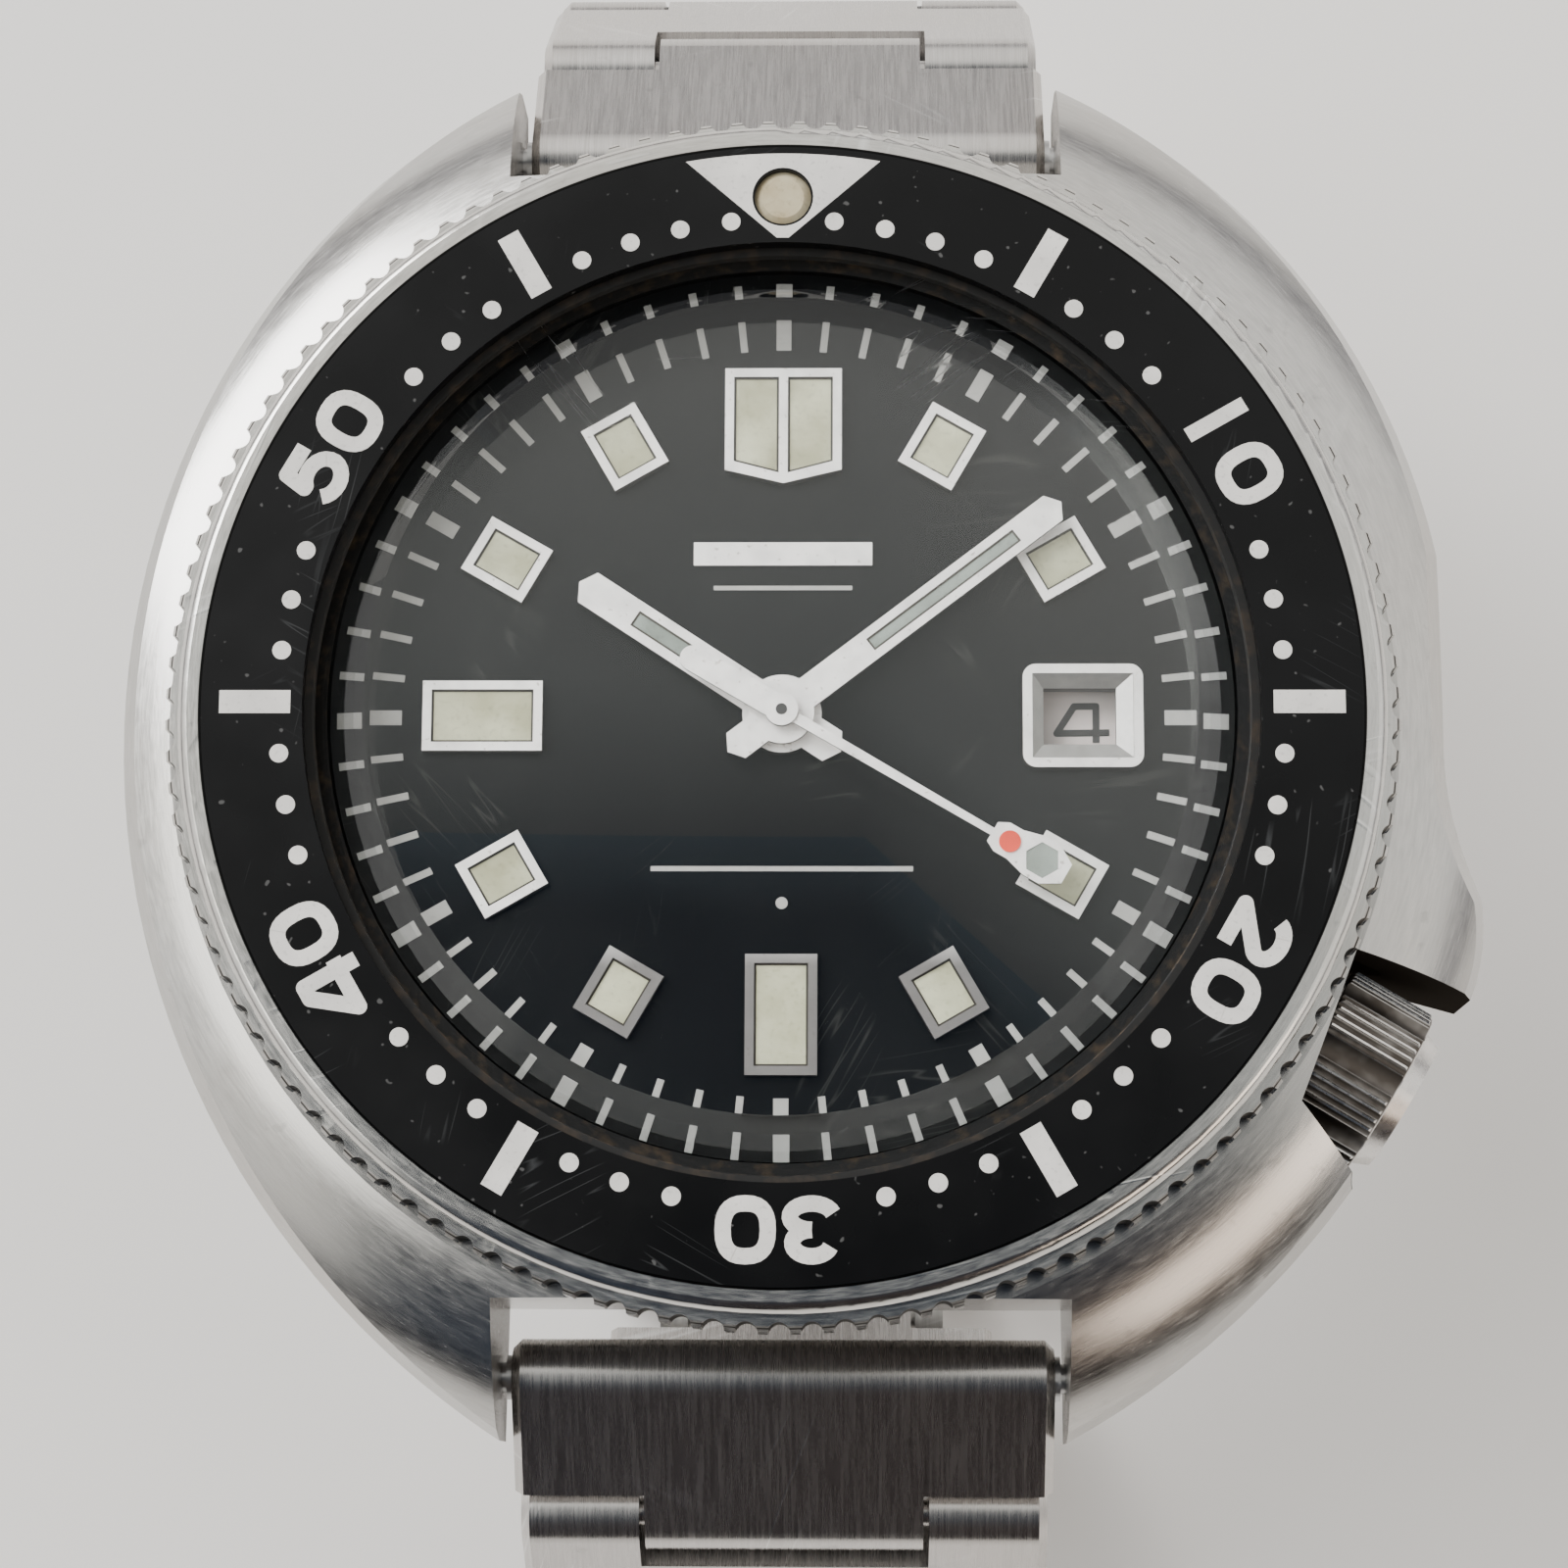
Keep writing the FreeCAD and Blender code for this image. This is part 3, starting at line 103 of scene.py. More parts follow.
class Surface(Nodes):
    """A material on one Principled shader."""

    def __init__(self, name, colour, metallic=0.0, roughness=0.5):
        self.material = bpy.data.materials.new(name)
        self.material.use_nodes = True
        super().__init__(self.material.node_tree)
        self.shader = self.tree.nodes["Principled BSDF"]
        self.set("Base Color", (*colour, 1.0))
        self.set("Metallic", metallic)
        self.set("Roughness", roughness)
        self.normal = None

    def set(self, name, value):
        self.feed(self.shader.inputs[name], value)

    def position(self):
        return self.node("ShaderNodeTexCoord").outputs["Object"]

    def facing(self):
        return self.node("ShaderNodeTexCoord").outputs["Normal"]

    def turned(self, vector, kind, turn):
        """A vector turned by Euler angles in radians; kind is POINT for places and VECTOR for directions."""
        mapping = self.node("ShaderNodeMapping", vector_type=kind)
        mapping.inputs["Rotation"].default_value = turn
        self.link(vector, mapping.inputs["Vector"])
        return mapping.outputs["Vector"]

    def length(self, first, second):
        """Length of the vector with these two components."""
        return self.math("SQRT", self.math("ADD", self.math("MULTIPLY", first, first),
                                           self.math("MULTIPLY", second, second)))

    def stretched(self, scale, turn=(0.0, 0.0, 0.0)):
        """Object position turned, then scaled, so noise can run in one direction."""
        scaled = self.node("ShaderNodeVectorMath", operation="MULTIPLY")
        self.link(self.turned(self.position(), "POINT", turn), scaled.inputs[0])
        scaled.inputs[1].default_value = scale
        return scaled.outputs["Vector"]

    def even(self, scale):
        """Object position scaled alike in every direction."""
        return self.stretched((scale,) * 3)

    def polar(self, radial, around, height):
        """Position as (radius, angle, height) about the dial axis, each with its own scale."""
        x, y, z = self.split(self.position())
        joined = self.node("ShaderNodeCombineXYZ")
        self.feed(joined.inputs["X"], self.math("MULTIPLY", self.length(x, y), radial))
        self.feed(joined.inputs["Y"], self.math("MULTIPLY", self.math("ARCTAN2", y, x), around))
        self.feed(joined.inputs["Z"], self.math("MULTIPLY", z, height))
        return joined.outputs["Vector"]

    def noise(self, vector, detail=2.0, roughness=0.5):
        noise = self.node("ShaderNodeTexNoise")
        self.link(vector, noise.inputs["Vector"])
        noise.inputs["Scale"].default_value = 1.0
        noise.inputs["Detail"].default_value = detail
        noise.inputs["Roughness"].default_value = roughness
        return noise.outputs["Fac"]

    def bump(self, height, strength, distance):
        """Add a bump; distance is in millimetres."""
        node = self.node("ShaderNodeBump")
        node.inputs["Strength"].default_value = strength
        node.inputs["Distance"].default_value = distance * MM
        self.link(height, node.inputs["Height"])
        if self.normal is not None:
            self.link(self.normal, node.inputs["Normal"])
        self.normal = node.outputs["Normal"]
        self.link(self.normal, self.shader.inputs["Normal"])

    def scratches(self, turns, fine=900.0, along=45.0, width=0.012, cover=0.6):
        """Thin random lines, one set per turn about Z; 1 on a scratch and 0 elsewhere.

        fine and along are the noise scales across and along a line; a patch of lines starts where noise
        passes cover."""
        total = None
        for turn in turns:
            lines = self.noise(self.stretched((fine, along, along), (0.0, 0.0, turn)), detail=1.0)
            line = self.ramp(lines, (0.5 - 2 * width, 0.0), (0.5, 1.0), (0.5 + 2 * width, 0.0))
            patches = self.noise(self.stretched((170.0, 170.0, 170.0), (0.3, 0.2, turn * 3.1)), detail=1.0)
            patch = self.ramp(patches, (cover, 0.0), (min(cover + 0.08, 1.0), 1.0))
            line = self.math("MULTIPLY", line, patch)
            total = line if total is None else self.math("MAXIMUM", total, line)
        return total


# ------------------------------------------------------------------ materials
def steel(name, colour, roughness, brush, grime=0.35, wear=1.0):
    """Worn stainless steel. brush gives the noise vector of its grain, wear the strength of its scratches."""
    s = Surface(name, colour, metallic=1.0, roughness=roughness)
    grain = s.noise(brush(s, 1.7), detail=2.0, roughness=0.6)
    streaks = s.noise(brush(s, 0.6), detail=2.0, roughness=0.6)
    broad = s.noise(s.even(90.0), detail=2.0)
    fine_dirt = s.noise(s.even(1300.0), detail=3.0)
    lines = s.math("ADD", s.math("MULTIPLY", grain, 0.62), s.math("MULTIPLY", streaks, 0.38))
    dark = tuple(c * 0.83 for c in colour)
    base = s.mix(s.ramp(lines, (0.36, 0.0), (0.62, 1.0)), dark, colour)
    warm = (colour[0] * 0.88, colour[1] * 0.82, colour[2] * 0.75)
    base = s.mix(s.math("MULTIPLY", s.ramp(broad, (0.45, 0.0), (0.7, 1.0)), grime), base, warm)
    base = s.mix(s.ramp(fine_dirt, (0.66, 0.0), (0.76, grime)), base, tuple(c * 0.35 for c in colour))
    marks = s.scratches((0.4, 1.3, 2.2), cover=0.6 + 0.1 * (1.0 - wear))
    base = s.mix(s.math("MULTIPLY", marks, 0.5 * wear), base, (0.9, 0.9, 0.89))
    s.base = base
    s.set("Base Color", base)
    s.rough = s.math("ADD", s.math("MULTIPLY", lines, 0.26), roughness - 0.13)
    s.set("Roughness", s.rough)
    s.bump(lines, 0.45, 0.006)
    s.bump(marks, 0.3 * wear, 0.01)
    return s


def from_axis(s):
    """Distance from the dial axis in millimetres, and height in millimetres."""
    x, y, z = s.split(s.position())
    return s.math("MULTIPLY", s.length(x, y), 1.0 / MM), s.math("MULTIPLY", z, 1.0 / MM)


def from_crown(s):
    """Distance from the crown's axis and distance along it, both in millimetres."""
    along, across, height = s.split(s.turned(s.position(), "POINT", CROWN_TURN))
    rise = s.math("SUBTRACT", height, CROWN_AXIS_Z * MM)
    return s.math("MULTIPLY", s.length(across, rise), 1.0 / MM), s.math("MULTIPLY", along, 1.0 / MM)


def between(s, value, low, high, soft=0.05):
    """1 where value lies between low and high, fading over soft."""
    rise = s.node("ShaderNodeMapRange", interpolation_type="SMOOTHSTEP")
    fall = s.node("ShaderNodeMapRange", interpolation_type="SMOOTHSTEP")
    for node, start, end in ((rise, low - soft, low + soft), (fall, high + soft, high - soft)):
        node.inputs["From Min"].default_value = min(start, end)
        node.inputs["From Max"].default_value = max(start, end)
        node.inputs["To Min"].default_value = 0.0 if start < end else 1.0
        node.inputs["To Max"].default_value = 1.0 if start < end else 0.0
        s.link(value, node.inputs["Value"])
    return s.math("MULTIPLY", rise.outputs["Result"], fall.outputs["Result"])


def case_steel():
    """Brushed steel, with painted shade inside the neck under the glass and in the crown's recess."""
    s = steel("case_steel", (0.55, 0.54, 0.525), 0.24, circular, grime=0.25, wear=0.25)
    radius, height = from_axis(s)
    # The neck under the glass is within 16.4 mm of the axis and above 8.6 mm; it gets painted shade, the
    # steel darkened nearly to black.
    neck = s.math("MULTIPLY", between(s, radius, 0.0, 16.4), between(s, height, 8.6, 13.0))
    base = s.mix(neck, s.base, (0.05, 0.05, 0.052))
    reach, along = from_crown(s)
    # Painted shade in the recess round the crown, then on its two flat side walls, which face across the
    # crown's axis.
    recess_shade = s.math("MULTIPLY", between(s, reach, -1.0, 3.53, 0.02), between(s, along, 20.2, 24.6))
    sideways = s.split(s.turned(s.facing(), "VECTOR", CROWN_TURN))[1]
    wall = s.math("MULTIPLY", between(s, s.math("ABSOLUTE", sideways), 0.62, 2.0, 0.1),
                  s.math("MULTIPLY", between(s, reach, -1.0, 5.6, 0.2), between(s, along, 19.0, 27.0)))
    recess_shade = s.math("MAXIMUM", recess_shade, wall)
    base = s.mix(recess_shade, base, (0.03, 0.026, 0.022))
    s.set("Base Color", base)
    # Inside the painted shade the steel also loses its metal and most of its specular reflection.
    unshaded = s.math("SUBTRACT", 1.0, recess_shade)
    s.set("Metallic", unshaded)
    s.set("Specular IOR Level", s.math("MULTIPLY", unshaded, 0.5))
    s.set("Roughness", s.math("ADD", s.math("MULTIPLY", s.rough, s.math("SUBTRACT", 1.0, neck)),
                              s.math("MULTIPLY", neck, 0.12)))
    return s


def bezel_steel():
    """Polished rim with dents, and painted shade with some grime down in the edge notches."""
    s = steel("bezel_steel", (0.64, 0.63, 0.61), 0.2, circular, grime=0.3)
    radius, height = from_axis(s)
    # The bottoms of the edge notches lie within 20.31 mm of the axis.
    valley = s.math("MULTIPLY", between(s, radius, 19.8, 20.31, 0.02), between(s, height, 9.0, 11.2, 0.03))
    patchiness = s.noise(s.even(1100.0), detail=4.0)
    # Painted shade with some grime darkens the notch bottoms, patchy through the noise.
    shade_and_grime = s.math("MULTIPLY", valley, s.ramp(patchiness, (0.2, 0.75), (0.55, 1.0)))
    base = s.mix(shade_and_grime, s.base, (0.02, 0.017, 0.014))
    # The insert's seat shows as a thin line 19 mm from the axis.
    seat = s.math("MULTIPLY", between(s, radius, 18.95, 19.12, 0.02), between(s, height, 11.8, 12.6, 0.03))
    base = s.mix(seat, base, (0.01, 0.01, 0.01))
    s.set("Base Color", base)
    s.set("Roughness", s.math("ADD", s.rough, s.math("MULTIPLY", shade_and_grime, 0.3)))
    dents = s.noise(s.even(700.0), detail=2.0)
    s.bump(s.ramp(dents, (0.26, 0.0), (0.36, 1.0)), 0.22, 0.03)
    return s


def crown_steel():
    """Worn steel with painted shade and packed grime in the flutes and the fine grooves between them."""
    s = steel("crown_steel", (0.74, 0.72, 0.70), 0.28, drawn, grime=0.3)
    reach, along = from_crown(s)
    # The bottoms of the flutes and fine grooves lie within 3.06 mm of the crown's axis.
    groove = s.math("MULTIPLY", between(s, reach, 2.6, 3.06, 0.03), between(s, along, 20.6, 23.72, 0.03))
    patchiness = s.noise(s.even(900.0), detail=2.0)
    # Painted shade with packed grime darkens the flute and groove bottoms.
    shade_and_grime = s.math("MULTIPLY", groove, s.ramp(patchiness, (0.3, 0.7), (0.6, 0.95)))
    s.set("Base Color", s.mix(shade_and_grime, s.base, (0.06, 0.048, 0.038)))
    s.set("Roughness", s.math("ADD", s.rough, s.math("MULTIPLY", shade_and_grime, 0.3)))
    return s


# The grains of steel: rings about the dial, lines along the bracelet, and no direction.
def circular(s, fineness):
    return s.polar(6500.0 * fineness, 22.0, 6500.0 * fineness)


def lengthwise(s, fineness):
    return s.stretched((9000.0 * fineness, 420.0, 420.0))


def drawn(s, fineness):
    return s.even(2200.0 * fineness)


def paint(name, colour, roughness, speck=0.1, tint=0.12, scale=700.0):
    """Printed or lacquered paint with fine mottling."""
    s = Surface(name, colour, roughness=roughness)
    broad = s.noise(s.even(scale * 0.35), detail=4.0)
    fine = s.noise(s.even(scale * 4.0), detail=2.0)
    dark = tuple(c * (1.0 - tint) for c in colour)
    base = s.mix(s.ramp(broad, (0.35, 0.0), (0.7, 1.0)), dark, colour)
    base = s.mix(s.math("MULTIPLY", s.ramp(fine, (0.58, 0.0), (0.72, 1.0)), speck), base,
                 tuple(c * 0.55 for c in colour))
    s.set("Base Color", base)
    s.set("Roughness", s.math("ADD", s.math("MULTIPLY", broad, 0.2), roughness - 0.1))
    s.bump(fine, 0.15, 0.004)
    return s


def black_insert():
    """Black lacquer, finely turned, scratched and dusty."""
    s = Surface("bezel_black", (0.012, 0.0125, 0.014), roughness=0.34)
    sweep = s.noise(s.polar(2400.0, 10.0, 2400.0), detail=2.0)
    broad = s.noise(s.even(220.0), detail=4.0)
    marks = s.scratches((0.2, 1.1, 2.1), fine=1700.0, along=90.0, width=0.008, cover=0.64)
    dust = s.ramp(s.noise(s.even(2600.0), detail=1.0), (0.72, 0.0), (0.76, 1.0))
    base = s.mix(s.ramp(broad, (0.4, 0.0), (0.8, 1.0)), (0.001, 0.0011, 0.0015), (0.0035, 0.0037, 0.0043))
    base = s.mix(s.math("MULTIPLY", marks, 0.3), base, (0.10, 0.105, 0.11))
    base = s.mix(s.math("MULTIPLY", dust, 0.35), base, (0.2, 0.2, 0.2))
    s.set("Base Color", base)
    s.set("Roughness", s.math("ADD", s.math("MULTIPLY", broad, 0.16), 0.2))
    s.bump(sweep, 0.12, 0.004)
    s.bump(marks, 0.4, 0.01)
    s.set("Specular IOR Level", 0.2)
    return s


def black_dial():
    """Near-black dial paint with a few faint marks."""
    s = Surface("dial_black", (0.03, 0.032, 0.03), roughness=0.3)
    broad = s.noise(s.even(110.0), detail=4.0)
    marks = s.scratches((0.5, 1.4, 2.4), fine=1700.0, along=120.0, width=0.01, cover=0.62)
    base = s.mix(s.ramp(broad, (0.35, 0.0), (0.7, 1.0)), (0.0008, 0.001, 0.0014), (0.0022, 0.0025, 0.003))
    base = s.mix(s.math("MULTIPLY", marks, 0.2), base, (0.12, 0.12, 0.11))
    s.set("Base Color", base)
    s.set("Roughness", s.math("ADD", s.math("MULTIPLY", broad, 0.15), 0.24))
    s.set("Specular IOR Level", 0.2)
    return s


def glass():
    """Clear glass, greyer at its bevelled rim and scratched; shadow rays pass straight through it."""
    s = Surface("watch_glass", (0.97, 0.985, 0.98), roughness=0.0)
    s.set("Transmission Weight", 1.0)
    s.set("IOR", 1.5)
    # The bevel starts 13.62 mm from the axis.
    rim = between(s, from_axis(s)[0], 13.62, 16.0, 0.02)
    s.set("Base Color", s.mix(rim, (0.97, 0.985, 0.98), (0.66, 0.68, 0.68)))
    # The scratches are stronger towards 12 o'clock.
    towards_12 = s.split(s.position())[1]
    worn = s.ramp(s.math("MULTIPLY", towards_12, 60.0), (0.1, 0.25), (0.75, 1.0))
    marks = s.scratches((0.1, 0.9, 1.5, 2.5), fine=1500.0, along=110.0, width=0.006, cover=0.62)
    marks = s.math("MULTIPLY", marks, worn)
    s.set("Roughness", s.math("MULTIPLY", marks, 0.45))
    s.bump(marks, 0.2, 0.004)
    clear = s.node("ShaderNodeBsdfTransparent")
    path = s.node("ShaderNodeLightPath")
    mixed = s.node("ShaderNodeMixShader")
    s.link(path.outputs["Is Shadow Ray"], mixed.inputs[0])
    s.link(s.shader.outputs[0], mixed.inputs[1])
    s.link(clear.outputs[0], mixed.inputs[2])
    output = s.tree.nodes["Material Output"]
    s.link(mixed.outputs[0], output.inputs["Surface"])
    return s


def lume(name, fresh, aged):
    """Grainy luminous paste, browned in patches."""
    s = Surface(name, fresh, roughness=0.75)
    broad = s.noise(s.even(520.0), detail=4.0)
    grains = s.noise(s.even(5200.0), detail=2.0)
    base = s.mix(s.ramp(broad, (0.35, 0.0), (0.68, 1.0)), fresh, aged)
    base = s.mix(s.ramp(grains, (0.55, 0.0), (0.8, 0.35)), base, tuple(c * 0.5 for c in aged))
    s.set("Base Color", base)
    s.bump(grains, 0.5, 0.02)
    return s


def silver_trim(name, colour, roughness):
    """Pitted silver plate, with painted shade on the window step, on its side walls and towards 6 o'clock."""
    s = Surface(name, colour, metallic=0.5, roughness=roughness)
    broad = s.noise(s.even(900.0), detail=4.0)
    pits = s.noise(s.even(4200.0), detail=2.0)
    base = s.mix(s.ramp(broad, (0.4, 0.0), (0.72, 1.0)), colour, tuple(c * 0.78 for c in colour))
    base = s.mix(s.ramp(pits, (0.66, 0.0), (0.74, 0.5)), base, (0.25, 0.2, 0.15))
    # The date window's step is between 9.06 and 9.22 mm up; it gets painted shade, a flat dark grey.
    height = from_axis(s)[1]
    base = s.mix(between(s, height, 9.06, 9.22, 0.02), base, (0.2, 0.2, 0.205))
    # Painted shade towards 6 o'clock, standing in for the dark south of the room in the plate's reflection.
    towards_12 = s.split(s.position())[1]
    shade_towards_6 = s.ramp(s.math("MULTIPLY", towards_12, -50.0), (0.32, 0.0), (0.42, 0.9))
    base = s.mix(shade_towards_6, base, (0.11, 0.102, 0.1))
    # Painted shade on the side walls, which face sideways: dark outlines along the frames and between stacked
    # hands.
    upward = s.split(s.facing())[2]
    side_wall_shade = between(s, s.math("ABSOLUTE", upward), -1.0, 0.5, 0.1)
    base = s.mix(side_wall_shade, base, (0.04, 0.036, 0.032))
    s.set("Base Color", base)
    s.set("Roughness", s.math("ADD", s.math("MULTIPLY", broad, 0.25), roughness - 0.1))
    s.bump(pits, 0.2, 0.006)
    return s


def rubber(name, colour, dust=(0.11, 0.075, 0.045)):
    """Dull seal rubber with dust in patches."""
    s = Surface(name, colour, roughness=0.7)
    broad = s.noise(s.even(1500.0), detail=4.0)
    s.set("Base Color", s.mix(s.ramp(broad, (0.5, 0.0), (0.72, 1.0)), colour, dust))
    s.bump(broad, 0.3, 0.02)
    return s


MATERIALS = {
    "steel_case": case_steel(),
    "steel_bezel": bezel_steel(),
    "steel_link": steel("link_steel", (0.58, 0.56, 0.545), 0.27, lengthwise),
    "steel_clasp": steel("clasp_steel", (0.6, 0.6, 0.59), 0.33, lengthwise),
    "steel_bar": steel("bar_steel", (0.5, 0.5, 0.5), 0.35, drawn),
    "steel_back": steel("back_steel", (0.62, 0.62, 0.61), 0.3, circular),
    "steel_crown": crown_steel(),
    "insert_black": black_insert(),
    "crystal_glass": glass(),
    "seal_rubber": rubber("seal_black", (0.02, 0.02, 0.02)),
    "retaining_ring": rubber("ring_grime", (0.003, 0.0028, 0.0025), (0.03, 0.019, 0.01)),
    "dial_black": black_dial(),
    "marker_silver": silver_trim("marker_silver", (1.0, 0.97, 0.95), 0.5),
    "lume_cream": lume("lume_cream", (0.64, 0.64, 0.46), (0.40, 0.39, 0.25)),
    "hand_white": silver_trim("hand_silver", (1.0, 0.97, 0.955), 0.5),
    "hand_lume": lume("lume_hands", (0.30, 0.34, 0.31), (0.19, 0.22, 0.19)),
    "pearl_lume": lume("lume_pearl", (0.60, 0.54, 0.38), (0.36, 0.28, 0.15)),
    "date_ring": paint("date_paint", (0.86, 0.76, 0.73), 0.6),
    "movement_nickel": steel("nickel_plate", (0.66, 0.64, 0.6), 0.35, drawn),
    "movement_brass": steel("gilt_brass", (0.75, 0.56, 0.26), 0.3, drawn),
    "rotor_steel": steel("rotor_steel", (0.62, 0.61, 0.59), 0.3, circular),
    "holder_plastic": paint("holder_plastic", (0.8, 0.79, 0.74), 0.5),
}
WHITE_PRINT = paint("white_print", (0.82, 0.80, 0.77), 0.55, speck=0.5, tint=0.2, scale=1400.0)
DIAL_PRINT = paint("dial_print", (0.46, 0.45, 0.43), 0.5, speck=0.3, tint=0.15, scale=1800.0)
RED_PAINT = paint("red_paint", (0.9, 0.06, 0.025), 0.4, speck=0.2, tint=0.2, scale=2600.0)
BEVEL_SILVER = steel("bevel_silver", (0.43, 0.42, 0.41), 0.4, drawn, grime=0.3, wear=0.3)
GAP_DARK_LINE = paint("gap_dark_line", (0.05, 0.042, 0.03), 0.7, speck=0.3, tint=0.4, scale=2600.0)
DATE_INK = paint("date_ink", (0.03, 0.028, 0.028), 0.5, speck=0.0, tint=0.3, scale=2600.0)

for entry in frame["record"]["subparts"]:
    node = frame["nodes"][entry["node"]]
    node.data.materials.clear()
    node.data.materials.append(MATERIALS[entry["material_slot"]].material)


# ------------------------------------------------------------------ thin printed marks
def mesh_object(name, verts, faces):
    mesh = bpy.data.meshes.new(name)
    mesh.from_pydata(verts, [], faces)
    mesh.validate()
    obj = bpy.data.objects.new(name, mesh)
    bpy.context.scene.collection.objects.link(obj)
    return obj


# Neighbouring plates of a mark differ by this many millimetres in thickness, over this many steps.
STEP, STEPS = 0.001, 17


def outline_mesh(name, outlines, z, thickness):
    """A flat plate per closed outline (lists of (x, y) in mm), base at height z mm.

    The plates differ in thickness, so that strokes which cross don't share a plane."""
    verts, faces = [], []
    for number, outline in enumerate(outlines):
        area = sum(a[0] * b[1] - b[0] * a[1] for a, b in zip(outline, outline[1:] + outline[:1]))
        points = list(outline) if area > 0 else list(reversed(outline))
        count, start = len(points), len(verts)
        verts += [(x * MM, y * MM, z * MM) for x, y in points]
        high = z + thickness + STEP * (number % STEPS)
        verts += [(x * MM, y * MM, high * MM) for x, y in points]
        faces.append([start + k for k in reversed(range(count))])
        faces.append([start + count + k for k in range(count)])
        for k in range(count):
            after = (k + 1) % count
            faces.append([start + k, start + after, start + count + after, start + count + k])
    return mesh_object(name, verts, faces)


# Cosine of the turn, about 32 degrees, above which a stroke's corner is rounded.
SHARP = 0.85


def ribbon(points, width, closed=False):
    """Outlines that together draw a line of the given width through the points, rounded at sharp corners."""
    points = [Vector(p) for p in points]
    count = len(points)
    spans = range(count if closed else count - 1)
    ways = [(points[(k + 1) % count] - points[k]).normalized() for k in spans]
    entering, leaving, joins = [], [], []
    for k in range(count):
        before = ways[k - 1] if (k > 0 or closed) else ways[0]
        after = ways[k] if k < len(ways) else before
        if before.dot(after) < SHARP:
            joins.append([(points[k].x + x, points[k].y + y) for x, y in disc(width / 2, 24)])
            pair = (before, after)
        else:
            pair = ((before + after).normalized(),) * 2
        for way, sides in zip(pair, (entering, leaving)):
            normal = Vector((-way.y, way.x)) * width / 2
            sides.append((points[k] + normal, points[k] - normal))
    quads = []
    for k in range(len(ways)):
        (a, b), (c, d) = leaving[k], entering[(k + 1) % count]
        quads.append([tuple(a), tuple(c), tuple(d), tuple(b)])
    return quads + joins


def bowl(cx, cy, rx, ry, start, end, count=18, power=2.0):
    """Points on an oval from one angle to another, in degrees; a power above 2 squares its corners."""
    out = []
    for k in range(count + 1):
        a = math.radians(start + (end - start) * k / count)
        c, s = math.cos(a), math.sin(a)
        out.append((cx + rx * math.copysign(abs(c) ** (2.0 / power), c),
                    cy + ry * math.copysign(abs(s) ** (2.0 / power), s)))
    return out


# Centre lines of each digit, about 1.6 wide and 2 high round its middle, and whether each line is closed.
STROKES = {
    "0": [(bowl(0, 0, 0.72, 0.84, 0, 360, 28, 2.6)[:-1], True)],
    "1": [([(0, -1.1), (0, 1.1)], False)],
    "2": [(bowl(0, 0.38, 0.66, 0.46, 170, -30) + [(-0.7, -0.84), (0.75, -0.84)], False)],
    "3": [(bowl(0, 0.42, 0.62, 0.42, 165, -90), False), (bowl(0, -0.42, 0.70, 0.42, 90, -165), False)],
    "4": [([(0.56, -1.08), (0.56, 0.84), (0.14, 0.84), (-0.86, -0.42), (0.92, -0.42)], False)],
    "5": [([(0.62, 0.84), (-0.5, 0.84), (-0.6, 0.1)] + bowl(0.02, -0.26, 0.68, 0.56, 140, -150), False)],
    "6": [(bowl(0, -0.3, 0.68, 0.54, 0, 360, 24)[:-1], True), (bowl(0.1, 0.0, 0.78, 0.84, 180, 60), False)],
    "7": [([(-0.68, 0.84), (0.68, 0.84), (-0.1, -1.1)], False)],
    "8": [(bowl(0, 0.42, 0.58, 0.42, 0, 360, 24)[:-1], True),
          (bowl(0, -0.42, 0.7, 0.44, 0, 360, 24)[:-1], True)],
    "9": [(bowl(0, 0.3, 0.68, 0.54, 0, 360, 24)[:-1], True), (bowl(-0.1, 0.0, 0.78, 0.84, 0, -120), False)],
}


def numeral(digit, width):
    outlines = []
    for points, closed in STROKES[digit]:
        outlines += ribbon(points, width, closed)
    return outlines


def placed(outlines, centre, turn=0.0):
    """Outlines turned by an angle in radians and moved to centre."""
    c, s = math.cos(turn), math.sin(turn)
    return [[(centre[0] + x * c - y * s, centre[1] + x * s + y * c) for x, y in outline]
            for outline in outlines]


def around(radius, minute):
    """Point on the dial circle at a minute, and the turn that points its top outward."""
    angle = math.radians(90 - 6 * minute)
    return (radius * math.cos(angle), radius * math.sin(angle)), angle - math.pi / 2


def disc(radius, count=28):
    return [(radius * math.cos(2 * math.pi * k / count), radius * math.sin(2 * math.pi * k / count))
            for k in range(count)]


def bar(width, height):
    x, y = width / 2, height / 2
    return [(-x, -y), (x, -y), (x, y), (-x, y)]


def dressed(obj, surface, body):
    obj.data.materials.append(surface.material)
    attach(obj, body)


def printed(name, outlines, z, thickness, surface, body):
    dressed(outline_mesh(name, outlines, z, thickness), surface, body)


# Bezel marks: a dot a minute, bars at the odd fives and numbers at the tens. A number leaves no room for the
# dot on either side of it.
DOT_RADIUS, BAR_RADIUS, NUMERAL_RADIUS = 16.5, 17.25, 17.2
BESIDE_NUMBERS = (9, 11, 19, 21, 29, 31, 39, 41, 49, 51)
DIGIT_OFFSET, DIGIT_STROKE = 1.06, 0.52
dots, bars, digits = [], [], []
for minute in range(60):
    if minute % 5 and minute not in BESIDE_NUMBERS:
        dots += placed([disc(0.31)], *around(DOT_RADIUS, minute))
    elif minute % 10 == 5:
        bars += placed([bar(0.77, 2.34)], *around(BAR_RADIUS, minute))
for ten in (10, 20, 30, 40, 50):
    (x, y), turn = around(NUMERAL_RADIUS, ten)
    for offset, digit in ((-DIGIT_OFFSET, str(ten)[0]), (DIGIT_OFFSET, "0")):
        spot = (x + offset * math.cos(turn), y + offset * math.sin(turn))
        digits += placed(numeral(digit, DIGIT_STROKE), spot, turn)
